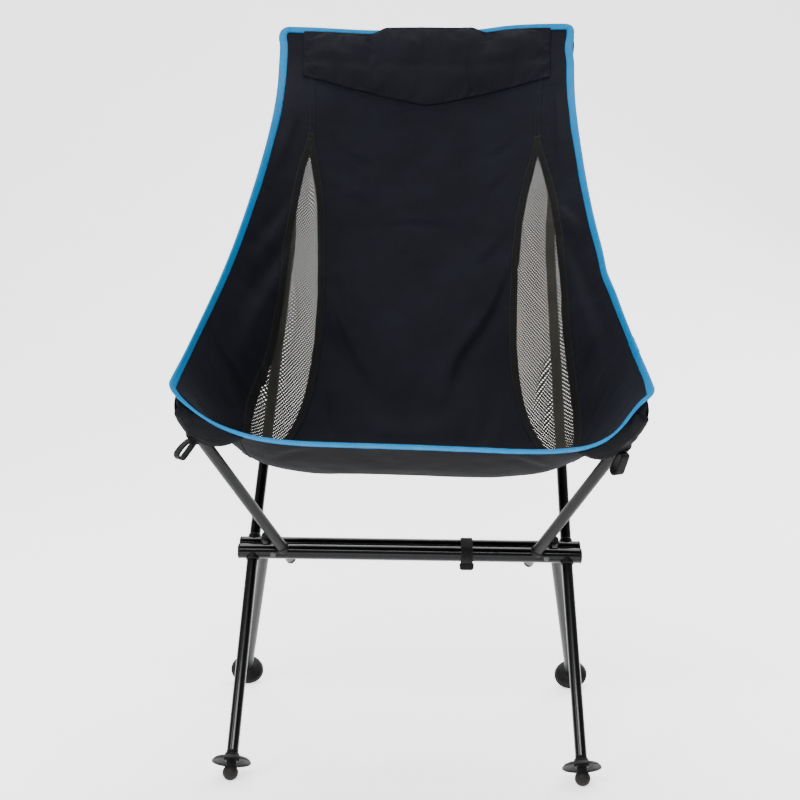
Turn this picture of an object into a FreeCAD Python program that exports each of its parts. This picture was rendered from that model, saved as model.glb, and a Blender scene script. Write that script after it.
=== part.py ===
import FreeCAD, Part
import math
import os
import Sketcher
from FreeCAD import Placement, Rotation, Vector

os.makedirs("parts", exist_ok=True)
doc = FreeCAD.newDocument("backpacking_chair")


# ---------------------------------------------------------------- dimensions
DIMENSIONS = [
    # hub
    ("hub_back", -93.5, "y of the front crossbar; puts the origin under the middle of the chair"),
    ("bar_outer", 19.5, "crossbar tube diameter"),
    ("bar_wall", 1.2, "crossbar wall"),
    ("bar_length", 446.0, "crossbar length without its end caps"),
    ("front_bar_height", 248.0, "front crossbar axis above the floor"),
    ("rear_bar_offset", 20.4, "rear crossbar axis behind the front one"),
    ("rear_bar_rise", 5.6, "rear crossbar axis above the front one"),
    ("spacer_place", 179.0, "sideways distance of the two spacers"),
    ("spacer_width", 10.0, "spacer size along the crossbars"),
    ("spacer_tall", 15.0, "spacer size up and down"),
    ("rivet_outer", 4.0, "rivet shank diameter"),
    ("rivet_head", 7.6, "rivet head diameter"),
    # stubs and sockets
    ("stub_outer", 12.9, "stub diameter"),
    ("stub_bore", 10.9, "stub inner diameter"),
    ("stub_reach", 58.0, "stub length outside the crossbar axis"),
    ("ring_outer", 17.0, "socket ring diameter"),
    ("ring_top", 13.0, "end of the socket ring, measured from the crossbar axis"),
    ("cap_outer", 13.4, "stub end cap diameter"),
    ("through_reach", 16.5, "how far the through stubs pass the crossbar axis"),
    # poles
    ("pole_outer", 14.5, "pole diameter"),
    ("pole_bore", 13.0, "pole inner diameter"),
    ("ferrule_length", 76.0, "ferrule length"),
    ("cord_outer", 2.6, "shock cord diameter"),
    # feet
    ("ball_outer", 19.2, "ball foot diameter"),
    ("ball_flat", 0.4, "depth of the flat where a ball foot meets the floor"),
    ("neck_outer", 12.4, "neck that carries the disc"),
    ("disc_outer", 48.0, "anti-sink disc diameter"),
    ("disc_thick", 2.0, "anti-sink disc thickness"),
    ("disc_dish", 4.5, "drop from the disc's hub to its rim"),
    # legs and poles: where each one crosses the crossbar and where it ends
    ("front_leg_start", 205.8, "front leg at the crossbar, sideways"),
    ("front_foot_side", 213.7, "front ball foot, sideways"),
    ("front_foot_reach", 166.0, "front ball foot ahead of the crossbar"),
    ("rear_leg_start", 192.2, "rear leg at the crossbar, sideways"),
    ("rear_foot_side", 244.0, "rear ball foot, sideways"),
    ("rear_foot_reach", 224.0, "rear ball foot behind the rear crossbar"),
    ("seat_pole_start", 163.5, "seat pole at the crossbar, sideways"),
    ("seat_tip_side", 266.0, "seat pole end, sideways"),
    ("seat_tip_reach", 188.0, "seat pole end ahead of the crossbar"),
    ("seat_tip_height", 448.0, "seat pole end above the floor"),
    ("back_pole_start", 207.4, "back pole at the crossbar, sideways"),
    ("back_pole_lean", 33.2, "degrees the lower back pole leans back"),
    ("back_pole_toe", 2.1, "degrees the lower back pole leans inward"),
    ("back_lower_end", 356.0, "end of the lower back pole along its axis"),
    ("back_bend_start", 455.0, "start of the bend along the axis"),
    ("back_bend_radius", 260.0, "bend radius of the upper back pole"),
    ("back_upper_lean", 14.5, "degrees the top of the back pole leans back"),
    ("back_upper_flare", 4.2, "degrees the top of the back pole leans outward"),
    ("back_top_run", 264.0, "straight length above the bend"),
    ("back_sway", 1.23, "degrees the whole back leans to the right"),
    # sling
    ("fabric_thick", 1.2, "fabric panel thickness"),
    ("binding_width", 11.5, "edge binding width"),
    ("binding_thick", 3.2, "edge binding thickness"),
    ("tape_width", 10.0, "seam tape width"),
    ("tape_thick", 0.8, "seam tape thickness"),
    ("webbing_width", 15.0, "pull loop webbing width"),
    ("webbing_thick", 1.6, "pull loop webbing thickness"),
    # storage strap
    ("strap_place", 75.0, "storage strap, sideways"),
    ("strap_width", 15.5, "storage strap width"),
    ("strap_thick", 1.6, "storage strap thickness"),
    ("strap_slack", 0.4, "gap between the strap and the crossbars"),
]

sheet = doc.addObject("Spreadsheet::Sheet", "dims")
sheet.set("A1", "name")
sheet.set("B1", "value")
sheet.set("C1", "meaning")
for row, (alias, number, meaning) in enumerate(DIMENSIONS, start=2):
    sheet.set("A%d" % row, alias)
    sheet.set("B%d" % row, str(number))
    sheet.setAlias("B%d" % row, alias)
    sheet.set("C%d" % row, meaning)
doc.recompute()


class Dim:
    """A length that keeps its number and its spreadsheet expression together."""

    def __init__(self, number, text):
        self.number = float(number)
        self.text = text

    def __add__(self, other):
        other = as_dim(other)
        return Dim(self.number + other.number, "(%s + %s)" % (self.text, other.text))

    def __sub__(self, other):
        other = as_dim(other)
        return Dim(self.number - other.number, "(%s - %s)" % (self.text, other.text))

    def __rsub__(self, other):
        return as_dim(other) - self

    def __mul__(self, other):
        other = as_dim(other)
        return Dim(self.number * other.number, "(%s * %s)" % (self.text, other.text))

    def __truediv__(self, other):
        other = as_dim(other)
        return Dim(self.number / other.number, "(%s / %s)" % (self.text, other.text))

    def __neg__(self):
        return Dim(-self.number, "(0 - %s)" % self.text)

    __radd__ = __add__
    __rmul__ = __mul__


def as_dim(value):
    if isinstance(value, Dim):
        return value
    return Dim(value, "%.6f" % value)


D = {alias: Dim(number, "dims." + alias) for alias, number, meaning in DIMENSIONS}


def mm(alias):
    return D[alias].number


# ------------------------------------------------------------ shape builders
def origin_plane(body, role):
    for feature in body.Origin.OriginFeatures:
        if feature.Role == role:
            return feature
    raise RuntimeError("no plane " + role)


def new_sketch(body, name, role):
    sketch = body.newObject("Sketcher::SketchObject", name)
    sketch.AttachmentSupport = [(origin_plane(body, role), "")]
    sketch.MapMode = "FlatFace"
    return sketch


def set_dim(obj, prop, value):
    value = as_dim(value)
    setattr(obj, prop, value.number)
    if "dims." in value.text:
        obj.setExpression(prop, value.text)


def draw_circle(sketch, radius):
    radius = as_dim(radius)
    origin = Vector(0, 0, 0)
    index = sketch.addGeometry(Part.Circle(origin, Vector(0, 0, 1), radius.number))
    sketch.addConstraint(Sketcher.Constraint("Coincident", index, 3, -1, 1))
    fixed = sketch.addConstraint(Sketcher.Constraint("Radius", index, radius.number))
    sketch.setExpression("Constraints[%d]" % fixed, radius.text)


def draw_outline(sketch, points):
    """Closed outline; every corner is held from the sketch origin by the sheet."""
    corners = [(as_dim(a), as_dim(b)) for a, b in points]
    count = len(corners)
    for i in range(count):
        a = corners[i]
        b = corners[(i + 1) % count]
        start = Vector(a[0].number, a[1].number, 0)
        end = Vector(b[0].number, b[1].number, 0)
        sketch.addGeometry(Part.LineSegment(start, end))
    for i in range(count):
        sketch.addConstraint(Sketcher.Constraint("Coincident", i, 2, (i + 1) % count, 1))
    for i, corner in enumerate(corners):
        for kind, axis, value in (("DistanceX", -2, corner[0]), ("DistanceY", -1, corner[1])):
            if value.number == 0:
                sketch.addConstraint(Sketcher.Constraint("PointOnObject", i, 1, axis))
            else:
                fixed = sketch.addConstraint(
                    Sketcher.Constraint(kind, -1, 1, i, 1, value.number))
                if "dims." in value.text:
                    sketch.setExpression("Constraints[%d]" % fixed, value.text)


def stadium(sketch, span_length, radius):
    """Two half circles joined by straight sides."""
    sketch.addGeometry(Part.LineSegment(Vector(0, radius, 0), Vector(span_length, radius, 0)))
    sketch.addGeometry(Part.ArcOfCircle(Vector(span_length, radius, 0),
                                        Vector(span_length + radius, 0, 0),
                                        Vector(span_length, -radius, 0)))
    sketch.addGeometry(Part.LineSegment(Vector(span_length, -radius, 0), Vector(0, -radius, 0)))
    sketch.addGeometry(Part.ArcOfCircle(Vector(0, -radius, 0), Vector(-radius, 0, 0),
                                        Vector(0, radius, 0)))


def revolved(name, points):
    """Body of revolution about its own Z axis from (radius, height) corners."""
    body = doc.addObject("PartDesign::Body", name)
    sketch = new_sketch(body, name + "_profile", "XZ_Plane")
    draw_outline(sketch, points)
    feature = body.newObject("PartDesign::Revolution", name + "_turn")
    feature.Profile = sketch
    feature.ReferenceAxis = (sketch, ["V_Axis"])
    feature.Angle = 360.0
    body.Tip = feature
    return body


def tube(name, outer, bore, length, start=0.0):
    """Straight tube along its own Z axis, from start for a given length."""
    body = doc.addObject("PartDesign::Body", name)
    sketch = new_sketch(body, name + "_ring", "XY_Plane")
    draw_circle(sketch, outer / 2)
    draw_circle(sketch, bore / 2)
    set_offset(sketch, start)
    feature = body.newObject("PartDesign::Pad", name + "_pad")
    feature.Profile = sketch
    set_dim(feature, "Length", length)
    body.Tip = feature
    return body


def set_offset(sketch, start):
    start = as_dim(start)
    sketch.AttachmentOffset = Placement(Vector(0, 0, start.number), Rotation())
    if "dims." in start.text:
        sketch.setExpression("AttachmentOffset.Base.z", start.text)


def rod(name, diameter, start, end):
    """Round rod along its own Z axis."""
    body = doc.addObject("PartDesign::Body", name)
    sketch = new_sketch(body, name + "_circle", "XY_Plane")
    draw_circle(sketch, diameter / 2)
    set_offset(sketch, start)
    feature = body.newObject("PartDesign::Pad", name + "_pad")
    feature.Profile = sketch
    set_dim(feature, "Length", as_dim(end) - as_dim(start))
    body.Tip = feature
    return body


def cylinder(name, diameter, length, placement):
    obj = doc.addObject("Part::Cylinder", name)
    set_dim(obj, "Radius", diameter / 2)
    set_dim(obj, "Height", length)
    obj.Placement = placement
    return obj


def fused(name, shapes):
    obj = doc.addObject("Part::MultiFuse", name)
    obj.Shapes = shapes
    return obj


def cut(name, base, tools):
    obj = doc.addObject("Part::Cut", name)
    obj.Base = base
    obj.Tool = tools[0] if len(tools) == 1 else fused(name + "_tools", tools)
    return obj


def group(name, items):
    obj = doc.addObject("Part::Compound", name)
    obj.Links = items
    return obj


def along(point, direction):
    """Placement whose Z axis runs from the point along the direction."""
    return Placement(point, Rotation(Vector(0, 0, 1), direction))


NODES = []


def node(name, obj):
    obj.Label = name
    NODES.append((name, obj))
    return obj


# ------------------------------------------------------------------ skeleton
SIDES = (("left", -1), ("right", 1))
FRONT_BAR = Vector(0, mm("hub_back"), mm("front_bar_height"))
REAR_BAR = FRONT_BAR + Vector(0, mm("rear_bar_offset"), mm("rear_bar_rise"))
BALL_HEIGHT = mm("ball_outer") / 2 - mm("ball_flat")


def span(start, end):
    line = end - start
    return start, line / line.Length, line.Length


def front_leg_line(side):
    start = FRONT_BAR + Vector(side * mm("front_leg_start"), 0, 0)
    end = Vector(side * mm("front_foot_side"), FRONT_BAR.y - mm("front_foot_reach"), BALL_HEIGHT)
    return span(start, end)


def rear_leg_line(side):
    start = REAR_BAR + Vector(side * mm("rear_leg_start"), 0, 0)
    end = Vector(side * mm("rear_foot_side"), REAR_BAR.y + mm("rear_foot_reach"), BALL_HEIGHT)
    return span(start, end)


def seat_pole_line(side):
    start = FRONT_BAR + Vector(side * mm("seat_pole_start"), 0, 0)
    end = Vector(side * mm("seat_tip_side"), FRONT_BAR.y - mm("seat_tip_reach"),
                 mm("seat_tip_height"))
    return span(start, end)


def lean_direction(lean, outward):
    """Unit direction that leans back and outward by the given degrees."""
    direction = Vector(math.tan(math.radians(outward)), math.tan(math.radians(lean)), 1)
    return direction / direction.Length


def back_pole_line(side):
    start = REAR_BAR + Vector(side * mm("back_pole_start"), 0, 0)
    direction = lean_direction(mm("back_pole_lean"), mm("back_sway") - side * mm("back_pole_toe"))
    return start, direction


def back_top_direction(side):
    return lean_direction(mm("back_upper_lean"), mm("back_sway") + side * mm("back_upper_flare"))


def bend_placement(side):
    """Frame of a back pole: Z along the lower part, X towards the bend."""
    start, low = back_pole_line(side)
    high = back_top_direction(side)
    toward = high - low * high.dot(low)
    toward.normalize()
    return Placement(start, Rotation(toward, low.cross(toward), low, "ZXY"))


def bend_angle(side):
    return math.acos(back_pole_line(side)[1].dot(back_top_direction(side)))


# ----------------------------------------------------------------------- hub
def crossbar(name, centre, holes):
    """Tube across the chair with a clean hole for every stub and rivet."""
    axis = along(centre - Vector(mm("bar_length") / 2, 0, 0), Vector(1, 0, 0))
    outer = cylinder(name + "_outer", D["bar_outer"], D["bar_length"], axis)
    bore = cylinder(name + "_bore", D["bar_outer"] - 2 * D["bar_wall"], D["bar_length"], axis)
    drills = [bore]
    for index, (point, direction, diameter, back) in enumerate(holes):
        place = along(point - direction * back, direction)
        drills.append(cylinder("%s_hole_%d" % (name, index), diameter, 20.0 + back, place))
    return cut(name, outer, drills)


def stub_holes(lines, through):
    back = 20.0 if through else 0.0
    return [(line[0], line[1], D["stub_outer"] + 0.1, back) for line in lines]


def rivet_direction():
    return (REAR_BAR - FRONT_BAR).normalize()


def rivet_holes(centre):
    direction = rivet_direction()
    places = [centre + Vector(side * mm("spacer_place"), 0, 0) for label, side in SIDES]
    return [(place, direction, D["rivet_outer"] + 0.1, 20.0) for place in places]


def end_cap(name, centre, side):
    """Push-in tube cap with a rounded flange."""
    radius = D["bar_outer"] / 2
    plug = radius - D["bar_wall"] - 0.05
    body = revolved(name, [(0, 2.6), (radius - 1.2, 2.6), (radius + 0.1, 1.6),
                           (radius + 0.1, 0.05), (plug, 0.05), (plug, -9.0), (0, -9.0)])
    body.Placement = along(centre + Vector(side * mm("bar_length") / 2, 0, 0), Vector(side, 0, 0))
    return body


def spacer(name, side):
    """Saddle block that fills the valley between the two crossbars."""
    place = FRONT_BAR + Vector(side * mm("spacer_place"), 0, 0)
    block = doc.addObject("Part::Box", name + "_block")
    set_dim(block, "Length", D["spacer_width"])
    set_dim(block, "Width", D["spacer_tall"])
    gap = (REAR_BAR - FRONT_BAR).Length
    block.Height = gap
    turned = Placement(place, Rotation(Vector(0, 0, 1), rivet_direction()))
    block.Placement = turned.multiply(
        Placement(Vector(-mm("spacer_width") / 2, -mm("spacer_tall") / 2, 0), Rotation()))
    reach = D["spacer_width"] + 10.0
    tools = []
    for label, centre in (("front", FRONT_BAR), ("rear", REAR_BAR)):
        start = centre + Vector(place.x - reach.number / 2, 0, 0)
        tools.append(cylinder("%s_%s_saddle" % (name, label), D["bar_outer"] + 0.1, reach,
                              along(start, Vector(1, 0, 0))))
    tools.append(cylinder(name + "_hole", D["rivet_outer"] + 0.1, 30.0,
                          along(place - rivet_direction() * 4, rivet_direction())))
    return cut(name, block, tools)


def rivet(name, side):
    """Through rivet with a domed head outside each crossbar."""
    shank = D["rivet_outer"] / 2
    head = D["rivet_head"] / 2
    half = (REAR_BAR - FRONT_BAR).Length / 2 + D["bar_outer"] / 2 + 0.1
    rise = half + 1.1
    body = revolved(name, [
        (0, rise), (head - 1.4, rise), (head, half + 0.4), (head, half), (shank, half),
        (shank, -half), (head, -half), (head, -half - 0.4), (head - 1.4, -rise), (0, -rise)])
    middle = (FRONT_BAR + REAR_BAR) / 2
    body.Placement = along(middle + Vector(side * mm("spacer_place"), 0, 0), rivet_direction())
    return body


def stub(name, line, through):
    start = -D["through_reach"] if through else as_dim(-5.0)
    body = tube(name, D["stub_outer"], D["stub_bore"], D["stub_reach"] - start, start)
    body.Placement = along(line[0], line[1])
    return body


def socket_ring(name, line):
    """Ring that fills the step between the crossbar and the end of the pole."""
    inner = D["stub_outer"] / 2 + 0.05
    outer = D["ring_outer"] / 2
    ring = revolved(name + "_blank", [(inner, 4.0), (outer, 4.0), (outer, D["ring_top"] - 1.0),
                                      (outer - 1.0, D["ring_top"]), (inner, D["ring_top"])])
    ring.Placement = along(line[0], line[1])
    start = line[0] - Vector(25, 0, 0)
    saddle = cylinder(name + "_saddle", D["bar_outer"] + 0.1, 50.0, along(start, Vector(1, 0, 0)))
    return cut(name, ring, [saddle])


def stub_cap(name, line):
    """Rounded cap pushed into the far end of a through stub, with a hole for the cord."""
    end = D["through_reach"] + 0.05
    head = D["cap_outer"] / 2
    plug = D["stub_bore"] / 2 - 0.05
    hole = D["cord_outer"] / 2 + 0.2
    body = revolved(name, [
        (0, -end - 6.6), (head * 0.55, -end - 6.0), (head * 0.87, -end - 4.2), (head, -end - 1.8),
        (head, -end), (plug, -end), (plug, 8.0 - end), (hole, 8.0 - end), (hole, -end - 2.0),
        (0, -end - 2.0)])
    body.Placement = along(line[0], line[1])
    return body


def blind_anchor(name, line):
    """Disc inside a blind stub that holds the end of its shock cord."""
    outer = D["stub_bore"] / 2 - 0.05
    hole = D["cord_outer"] / 2 + 0.2
    body = revolved(name, [(hole, -4.5), (outer, -4.5), (outer, 1.5), (hole, 1.5)])
    body.Placement = along(line[0], line[1])
    return body


def build_hub():
    fronts = [front_leg_line(side) for label, side in SIDES]
    rears = [rear_leg_line(side) for label, side in SIDES]
    seats = [seat_pole_line(side) for label, side in SIDES]
    backs = [back_pole_line(side) for label, side in SIDES]
    node("front_crossbar", crossbar("front_crossbar", FRONT_BAR,
         stub_holes(fronts, False) + stub_holes(seats, True) + rivet_holes(FRONT_BAR)))
    node("rear_crossbar", crossbar("rear_crossbar", REAR_BAR,
         stub_holes(backs, False) + stub_holes(rears, True) + rivet_holes(REAR_BAR)))
    caps = []
    for label, side in SIDES:
        caps.append(end_cap("front_bar_cap_" + label, FRONT_BAR, side))
        caps.append(end_cap("rear_bar_cap_" + label, REAR_BAR, side))
    node("crossbar_end_caps", group("crossbar_end_caps", caps))
    node("crossbar_spacers", group("crossbar_spacers", [
        spacer("spacer_" + label, side) for label, side in SIDES]))
    node("crossbar_rivets", group("crossbar_rivets", [
        rivet("rivet_" + label, side) for label, side in SIDES]))
    ring_sets = (("front_leg", fronts, False), ("rear_leg", rears, True),
                 ("seat_pole", seats, True), ("back_pole", backs, False))
    for kind, lines, through in ring_sets:
        stubs = [stub("%s_stub_%d" % (kind, i), line, through) for i, line in enumerate(lines)]
        node(kind + "_stubs", group(kind + "_stubs", stubs))
    leg_rings = [socket_ring("leg_ring_%d" % i, line) for i, line in enumerate(fronts + rears)]
    pole_rings = [socket_ring("pole_ring_%d" % i, line) for i, line in enumerate(seats + backs)]
    node("leg_socket_rings", group("leg_socket_rings", leg_rings))
    node("pole_socket_rings", group("pole_socket_rings", pole_rings))
    node("stub_end_caps", group("stub_end_caps", [
        stub_cap("stub_cap_%d" % i, line) for i, line in enumerate(rears + seats)]))
    node("stub_cord_anchors", group("stub_cord_anchors", [
        blind_anchor("anchor_%d" % i, line) for i, line in enumerate(fronts + backs)]))


# ---------------------------------------------------------------------- legs
TIP_SHOULDER = 24.0
TIP_PLUG = 46.0


def foot_tip(name, line):
    """Ball foot with a small flat on the floor, neck for the disc and plug for the tube."""
    neck = D["neck_outer"] / 2
    plug = D["pole_bore"] / 2 - 0.05
    shoulder = D["pole_outer"] / 2
    hole = D["cord_outer"] / 2 + 0.2
    body = revolved(name, [
        (0, 0), (neck, 0), (neck, TIP_SHOULDER), (shoulder, TIP_SHOULDER + 0.6),
        (shoulder, TIP_SHOULDER + 2.6), (plug, TIP_SHOULDER + 2.6), (plug, TIP_PLUG),
        (hole, TIP_PLUG), (hole, TIP_PLUG - 20.0), (0, TIP_PLUG - 20.0)])
    ball = body.newObject("PartDesign::AdditiveSphere", name + "_ball")
    set_dim(ball, "Radius", D["ball_outer"] / 2)
    body.Tip = ball
    centre = line[0] + line[1] * line[2]
    body.Placement = along(centre, -line[1])
    floor = cylinder(name + "_floor", D["ball_outer"] + 4.0, 10.0,
                     Placement(Vector(centre.x, centre.y, -10.0), Rotation()))
    return cut(name, body, [floor])


def foot_disc(name, line):
    """Dished disc with a short hub that snaps over the neck above the ball."""
    bore = D["neck_outer"] / 2 + 0.05
    hub = bore + 2.4
    rim = D["disc_outer"] / 2
    low = 18.0 - D["disc_dish"]
    body = revolved(name, [
        (bore, 13.2), (hub, 13.2), (hub + 1.0, 17.0), (rim - 3.0, low + 0.8), (rim, low - 1.4),
        (rim + 0.0, low - 0.2), (rim - 2.6, low + D["disc_thick"] + 0.8),
        (hub + 1.0, 17.0 + D["disc_thick"] + 0.6), (hub, 23.2), (bore, 23.2)])
    body.Placement = along(line[0] + line[1] * line[2], -line[1])
    return body


def leg_tube(name, line):
    start = D["ring_top"] + 0.05
    end = as_dim(line[2] - TIP_SHOULDER - 2.65)
    body = tube(name, D["pole_outer"], D["pole_bore"], end - start, start)
    body.Placement = along(line[0], line[1])
    return body


def leg_cord(name, line, start):
    """Shock cord from its anchor in the stub to the foot's plug, one straight run."""
    body = rod(name, D["cord_outer"], start, line[2] - TIP_PLUG + 16.0)
    body.Placement = along(line[0], line[1])
    return body


def build_legs():
    for kind, find_line, cord_start in (("front", front_leg_line, -3.0),
                                        ("rear", rear_leg_line, -12.0)):
        for label, side in SIDES:
            line = find_line(side)
            end = "%s_%s" % (kind, label)
            node("%s_leg_%s" % (kind, label), leg_tube("%s_leg_%s" % (kind, label), line))
            node("foot_tip_" + end, foot_tip("foot_tip_" + end, line))
            node("foot_disc_" + end, foot_disc("foot_disc_" + end, line))
            node("leg_shock_cord_" + end, leg_cord("leg_shock_cord_" + end, line, cord_start))


# --------------------------------------------------------- seat and back poles
def pole_tip(name, placement):
    """Rounded plastic tip pushed into the end of a pole."""
    radius = D["pole_outer"] / 2
    plug = D["pole_bore"] / 2 - 0.05
    hole = D["cord_outer"] / 2 + 0.2
    body = revolved(name, [
        (0, 6.6), (radius * 0.55, 6.0), (radius * 0.88, 4.0), (radius, 1.6), (radius, 0.05),
        (plug, 0.05), (plug, -18.0), (hole, -18.0), (hole, -2.0), (0, -2.0)])
    body.Placement = placement
    return body


def curved_pole(name, side, circles, start, stop_short):
    """Sweep of the given circles along a back pole, from start to near its top."""
    body = doc.addObject("PartDesign::Body", name)
    ring = new_sketch(body, name + "_ring", "XY_Plane")
    for diameter in circles:
        draw_circle(ring, diameter / 2)
    set_offset(ring, start)
    angle = bend_angle(side)
    radius = mm("back_bend_radius")
    low = Vector(0, as_dim(start).number, 0)
    knee = Vector(0, mm("back_bend_start"), 0)
    centre = knee + Vector(radius, 0, 0)
    exit_point = centre + Vector(-math.cos(angle), math.sin(angle), 0) * radius
    run = mm("back_top_run") - stop_short
    top = exit_point + Vector(math.sin(angle), math.cos(angle), 0) * run
    path = new_sketch(body, name + "_path", "XZ_Plane")
    path.addGeometry(Part.LineSegment(low, knee))
    middle = centre + Vector(-math.cos(angle / 2), math.sin(angle / 2), 0) * radius
    path.addGeometry(Part.ArcOfCircle(knee, middle, exit_point))
    path.addGeometry(Part.LineSegment(exit_point, top))
    sweep = body.newObject("PartDesign::AdditivePipe", name + "_sweep")
    sweep.Profile = ring
    sweep.Spine = (path, ["Edge1", "Edge2", "Edge3"])
    body.Tip = sweep
    body.Placement = bend_placement(side)
    return body


def back_top_placement(side):
    """Placement at the very top of a back pole's tube, Z along the tube."""
    angle = bend_angle(side)
    radius = mm("back_bend_radius")
    run = mm("back_top_run")
    x = radius - radius * math.cos(angle) + math.sin(angle) * run
    z = mm("back_bend_start") + radius * math.sin(angle) + math.cos(angle) * run
    point = bend_placement(side).multVec(Vector(x, 0, z))
    return along(point, back_top_direction(side))


def build_poles():
    seat_tips = []
    back_tips = []
    ferrules = []
    cords = []
    for label, side in SIDES:
        point, direction, length = seat_pole_line(side)
        start = D["ring_top"] + 0.05
        seat = tube("seat_pole_" + label, D["pole_outer"], D["pole_bore"], length - start, start)
        seat.Placement = along(point, direction)
        node("seat_pole_" + label, seat)
        seat_tips.append(pole_tip("seat_tip_" + label, along(point + direction * length, direction)))
        seat_cord = rod("seat_cord_" + label, D["cord_outer"], -12.0, length - 4.0)
        seat_cord.Placement = along(point, direction)
        cords.append(seat_cord)

        frame = bend_placement(side)
        joint = D["back_lower_end"]
        lower = tube("back_pole_lower_" + label, D["pole_outer"], D["pole_bore"],
                     joint - start, start)
        lower.Placement = frame
        node("back_pole_lower_" + label, lower)
        node("back_pole_upper_" + label, curved_pole(
            "back_pole_upper_" + label, side, [D["pole_outer"], D["pole_bore"]], joint + 0.1, 0.0))
        ferrule = tube("ferrule_" + label, D["pole_bore"] - 0.1, D["pole_bore"] - 2.0,
                       D["ferrule_length"], joint - D["ferrule_length"] / 2)
        ferrule.Placement = frame
        ferrules.append(ferrule)
        back_tips.append(pole_tip("back_tip_" + label, back_top_placement(side)))
        cords.append(curved_pole("back_cord_" + label, side, [D["cord_outer"]], -3.0, 4.0))
    node("seat_pole_tips", group("seat_pole_tips", seat_tips))
    node("back_pole_tips", group("back_pole_tips", back_tips))
    node("back_pole_ferrules", group("back_pole_ferrules", ferrules))
    node("pole_shock_cords", group("pole_shock_cords", cords))


# --------------------------------------------------------------------- sling
def natural_spline(knots, values):
    """Natural cubic spline through the given values."""
    count = len(knots)
    step = [knots[i + 1] - knots[i] for i in range(count - 1)]
    slope = [(values[i + 1] - values[i]) / step[i] for i in range(count - 1)]
    diagonal = [1.0] * count
    right = [0.0] * count
    upper = [0.0] * count
    for i in range(1, count - 1):
        diagonal[i] = 2 * (step[i - 1] + step[i]) - step[i - 1] * upper[i - 1]
        upper[i] = step[i] / diagonal[i]
        right[i] = (6 * (slope[i] - slope[i - 1]) - step[i - 1] * right[i - 1]) / diagonal[i]
    bend = [0.0] * count
    for i in range(count - 2, 0, -1):
        bend[i] = right[i] - upper[i] * bend[i + 1]

    def at(place):
        i = 0
        while i < count - 2 and place > knots[i + 1]:
            i += 1
        a = place - knots[i]
        first = slope[i] - step[i] * (2 * bend[i] + bend[i + 1]) / 6
        return values[i] + a * (first + a * (bend[i] / 2 + a * (bend[i + 1] - bend[i]) / (6 * step[i])))

    return at


# Stations from the top edge (0) to the front edge of the seat (1). Lengths are in mm from the
# front crossbar: side edge (out, back, height), centre line (back, height), bowl sharpness and
# sideways sway.
STATIONS = [
    (0.00, 223, 362, 984, 363, 981, 2.2, 15.5),
    (0.10, 221, 324, 928, 340, 922, 2.4, 14.5),
    (0.22, 219, 269, 868, 311, 850, 2.6, 13.5),
    (0.35, 224, 195, 790, 268, 755, 2.8, 11.0),
    (0.48, 235, 110, 703, 212, 650, 3.0, 7.0),
    (0.60, 250, 38, 628, 150, 548, 3.4, 4.4),
    (0.70, 261, -22, 580, 88, 450, 4.5, 2.6),
    (0.80, 270, -78, 543, 15, 377, 6.0, 1.6),
    (0.88, 277, -125, 515, -60, 362, 6.0, 1.2),
    (0.95, 281, -168, 496, -135, 386, 5.2, 0.6),
    (1.00, 283, -203, 482, -190, 416, 4.8, 0.0),
]
KNOTS = [station[0] for station in STATIONS]
SHAPE = [natural_spline(KNOTS, [station[i] for station in STATIONS]) for i in range(1, 8)]

# Middle line and half width of the mesh panels, as fractions of the half width of the sling.
MESH_KNOTS = [0.0, 0.15, 0.32, 0.42, 0.50, 0.62, 0.69, 0.735, 0.78, 0.83, 0.87, 0.94, 1.0]
MESH_MIDDLE = natural_spline(MESH_KNOTS, [
    0.80, 0.775, 0.743, 0.723, 0.704, 0.668, 0.665, 0.680, 0.702, 0.721, 0.729, 0.735, 0.745])
MESH_TOP = 0.30
MESH_FOOT = 0.91
MESH_HALF = natural_spline(
    [0.30, 0.325, 0.35, 0.38, 0.42, 0.50, 0.62, 0.69, 0.735, 0.78, 0.82, 0.85, 0.88, 0.91],
    [0.0, 0.019, 0.040, 0.063, 0.091, 0.123, 0.137, 0.131, 0.120, 0.097, 0.066, 0.037, 0.011, 0.0])


# How much farther in the left mesh panel's outer edge runs.
MESH_TUCK = natural_spline(
    [0.30, 0.366, 0.426, 0.51, 0.586, 0.631, 0.675, 0.714, 0.758, 0.80, 0.91],
    [0.0, 0.011, 0.037, 0.055, 0.060, 0.057, 0.046, 0.025, 0.004, -0.004, 0.0])

# How much the top edge and the front edge ride up (mm) at places across the sling.
TOP_RISE = natural_spline([-1.0, -0.7, -0.37, 0.0, 0.3, 0.4, 0.5, 0.65, 0.8, 1.0],
                          [0.0, 0.0, -1.5, 0.0, 0.6, 2.7, 5.8, 8.3, 9.0, 8.5])
FRONT_RISE = natural_spline(
    [-1.0, -0.8, -0.4, 0.0, 0.27, 0.4, 0.53, 0.67, 0.8, 0.865, 0.93, 1.0],
    [0.0, 0.0, 1.2, 0.0, -2.2, -3.9, -6.5, -10.3, -12.0, -7.0, 3.0, 0.0])
# Waves of the side edges: side, place down the edge, spread, outward in mm.
EDGE_WAVES = [(-1, 0.030, 0.020, 2.6), (1, 0.066, 0.024, -3.0), (1, 0.615, 0.035, -2.6)]


def mesh_half(place):
    if place <= MESH_TOP or place >= MESH_FOOT:
        return 0.0
    return max(0.0, MESH_HALF(place))


def mesh_outer(side, place):
    """Outer edge of a mesh panel."""
    half = mesh_half(place)
    tuck = min(MESH_TUCK(place), 1.5 * half) if side < 0 and half > 0 else 0.0
    return MESH_MIDDLE(place) + half - tuck


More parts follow.
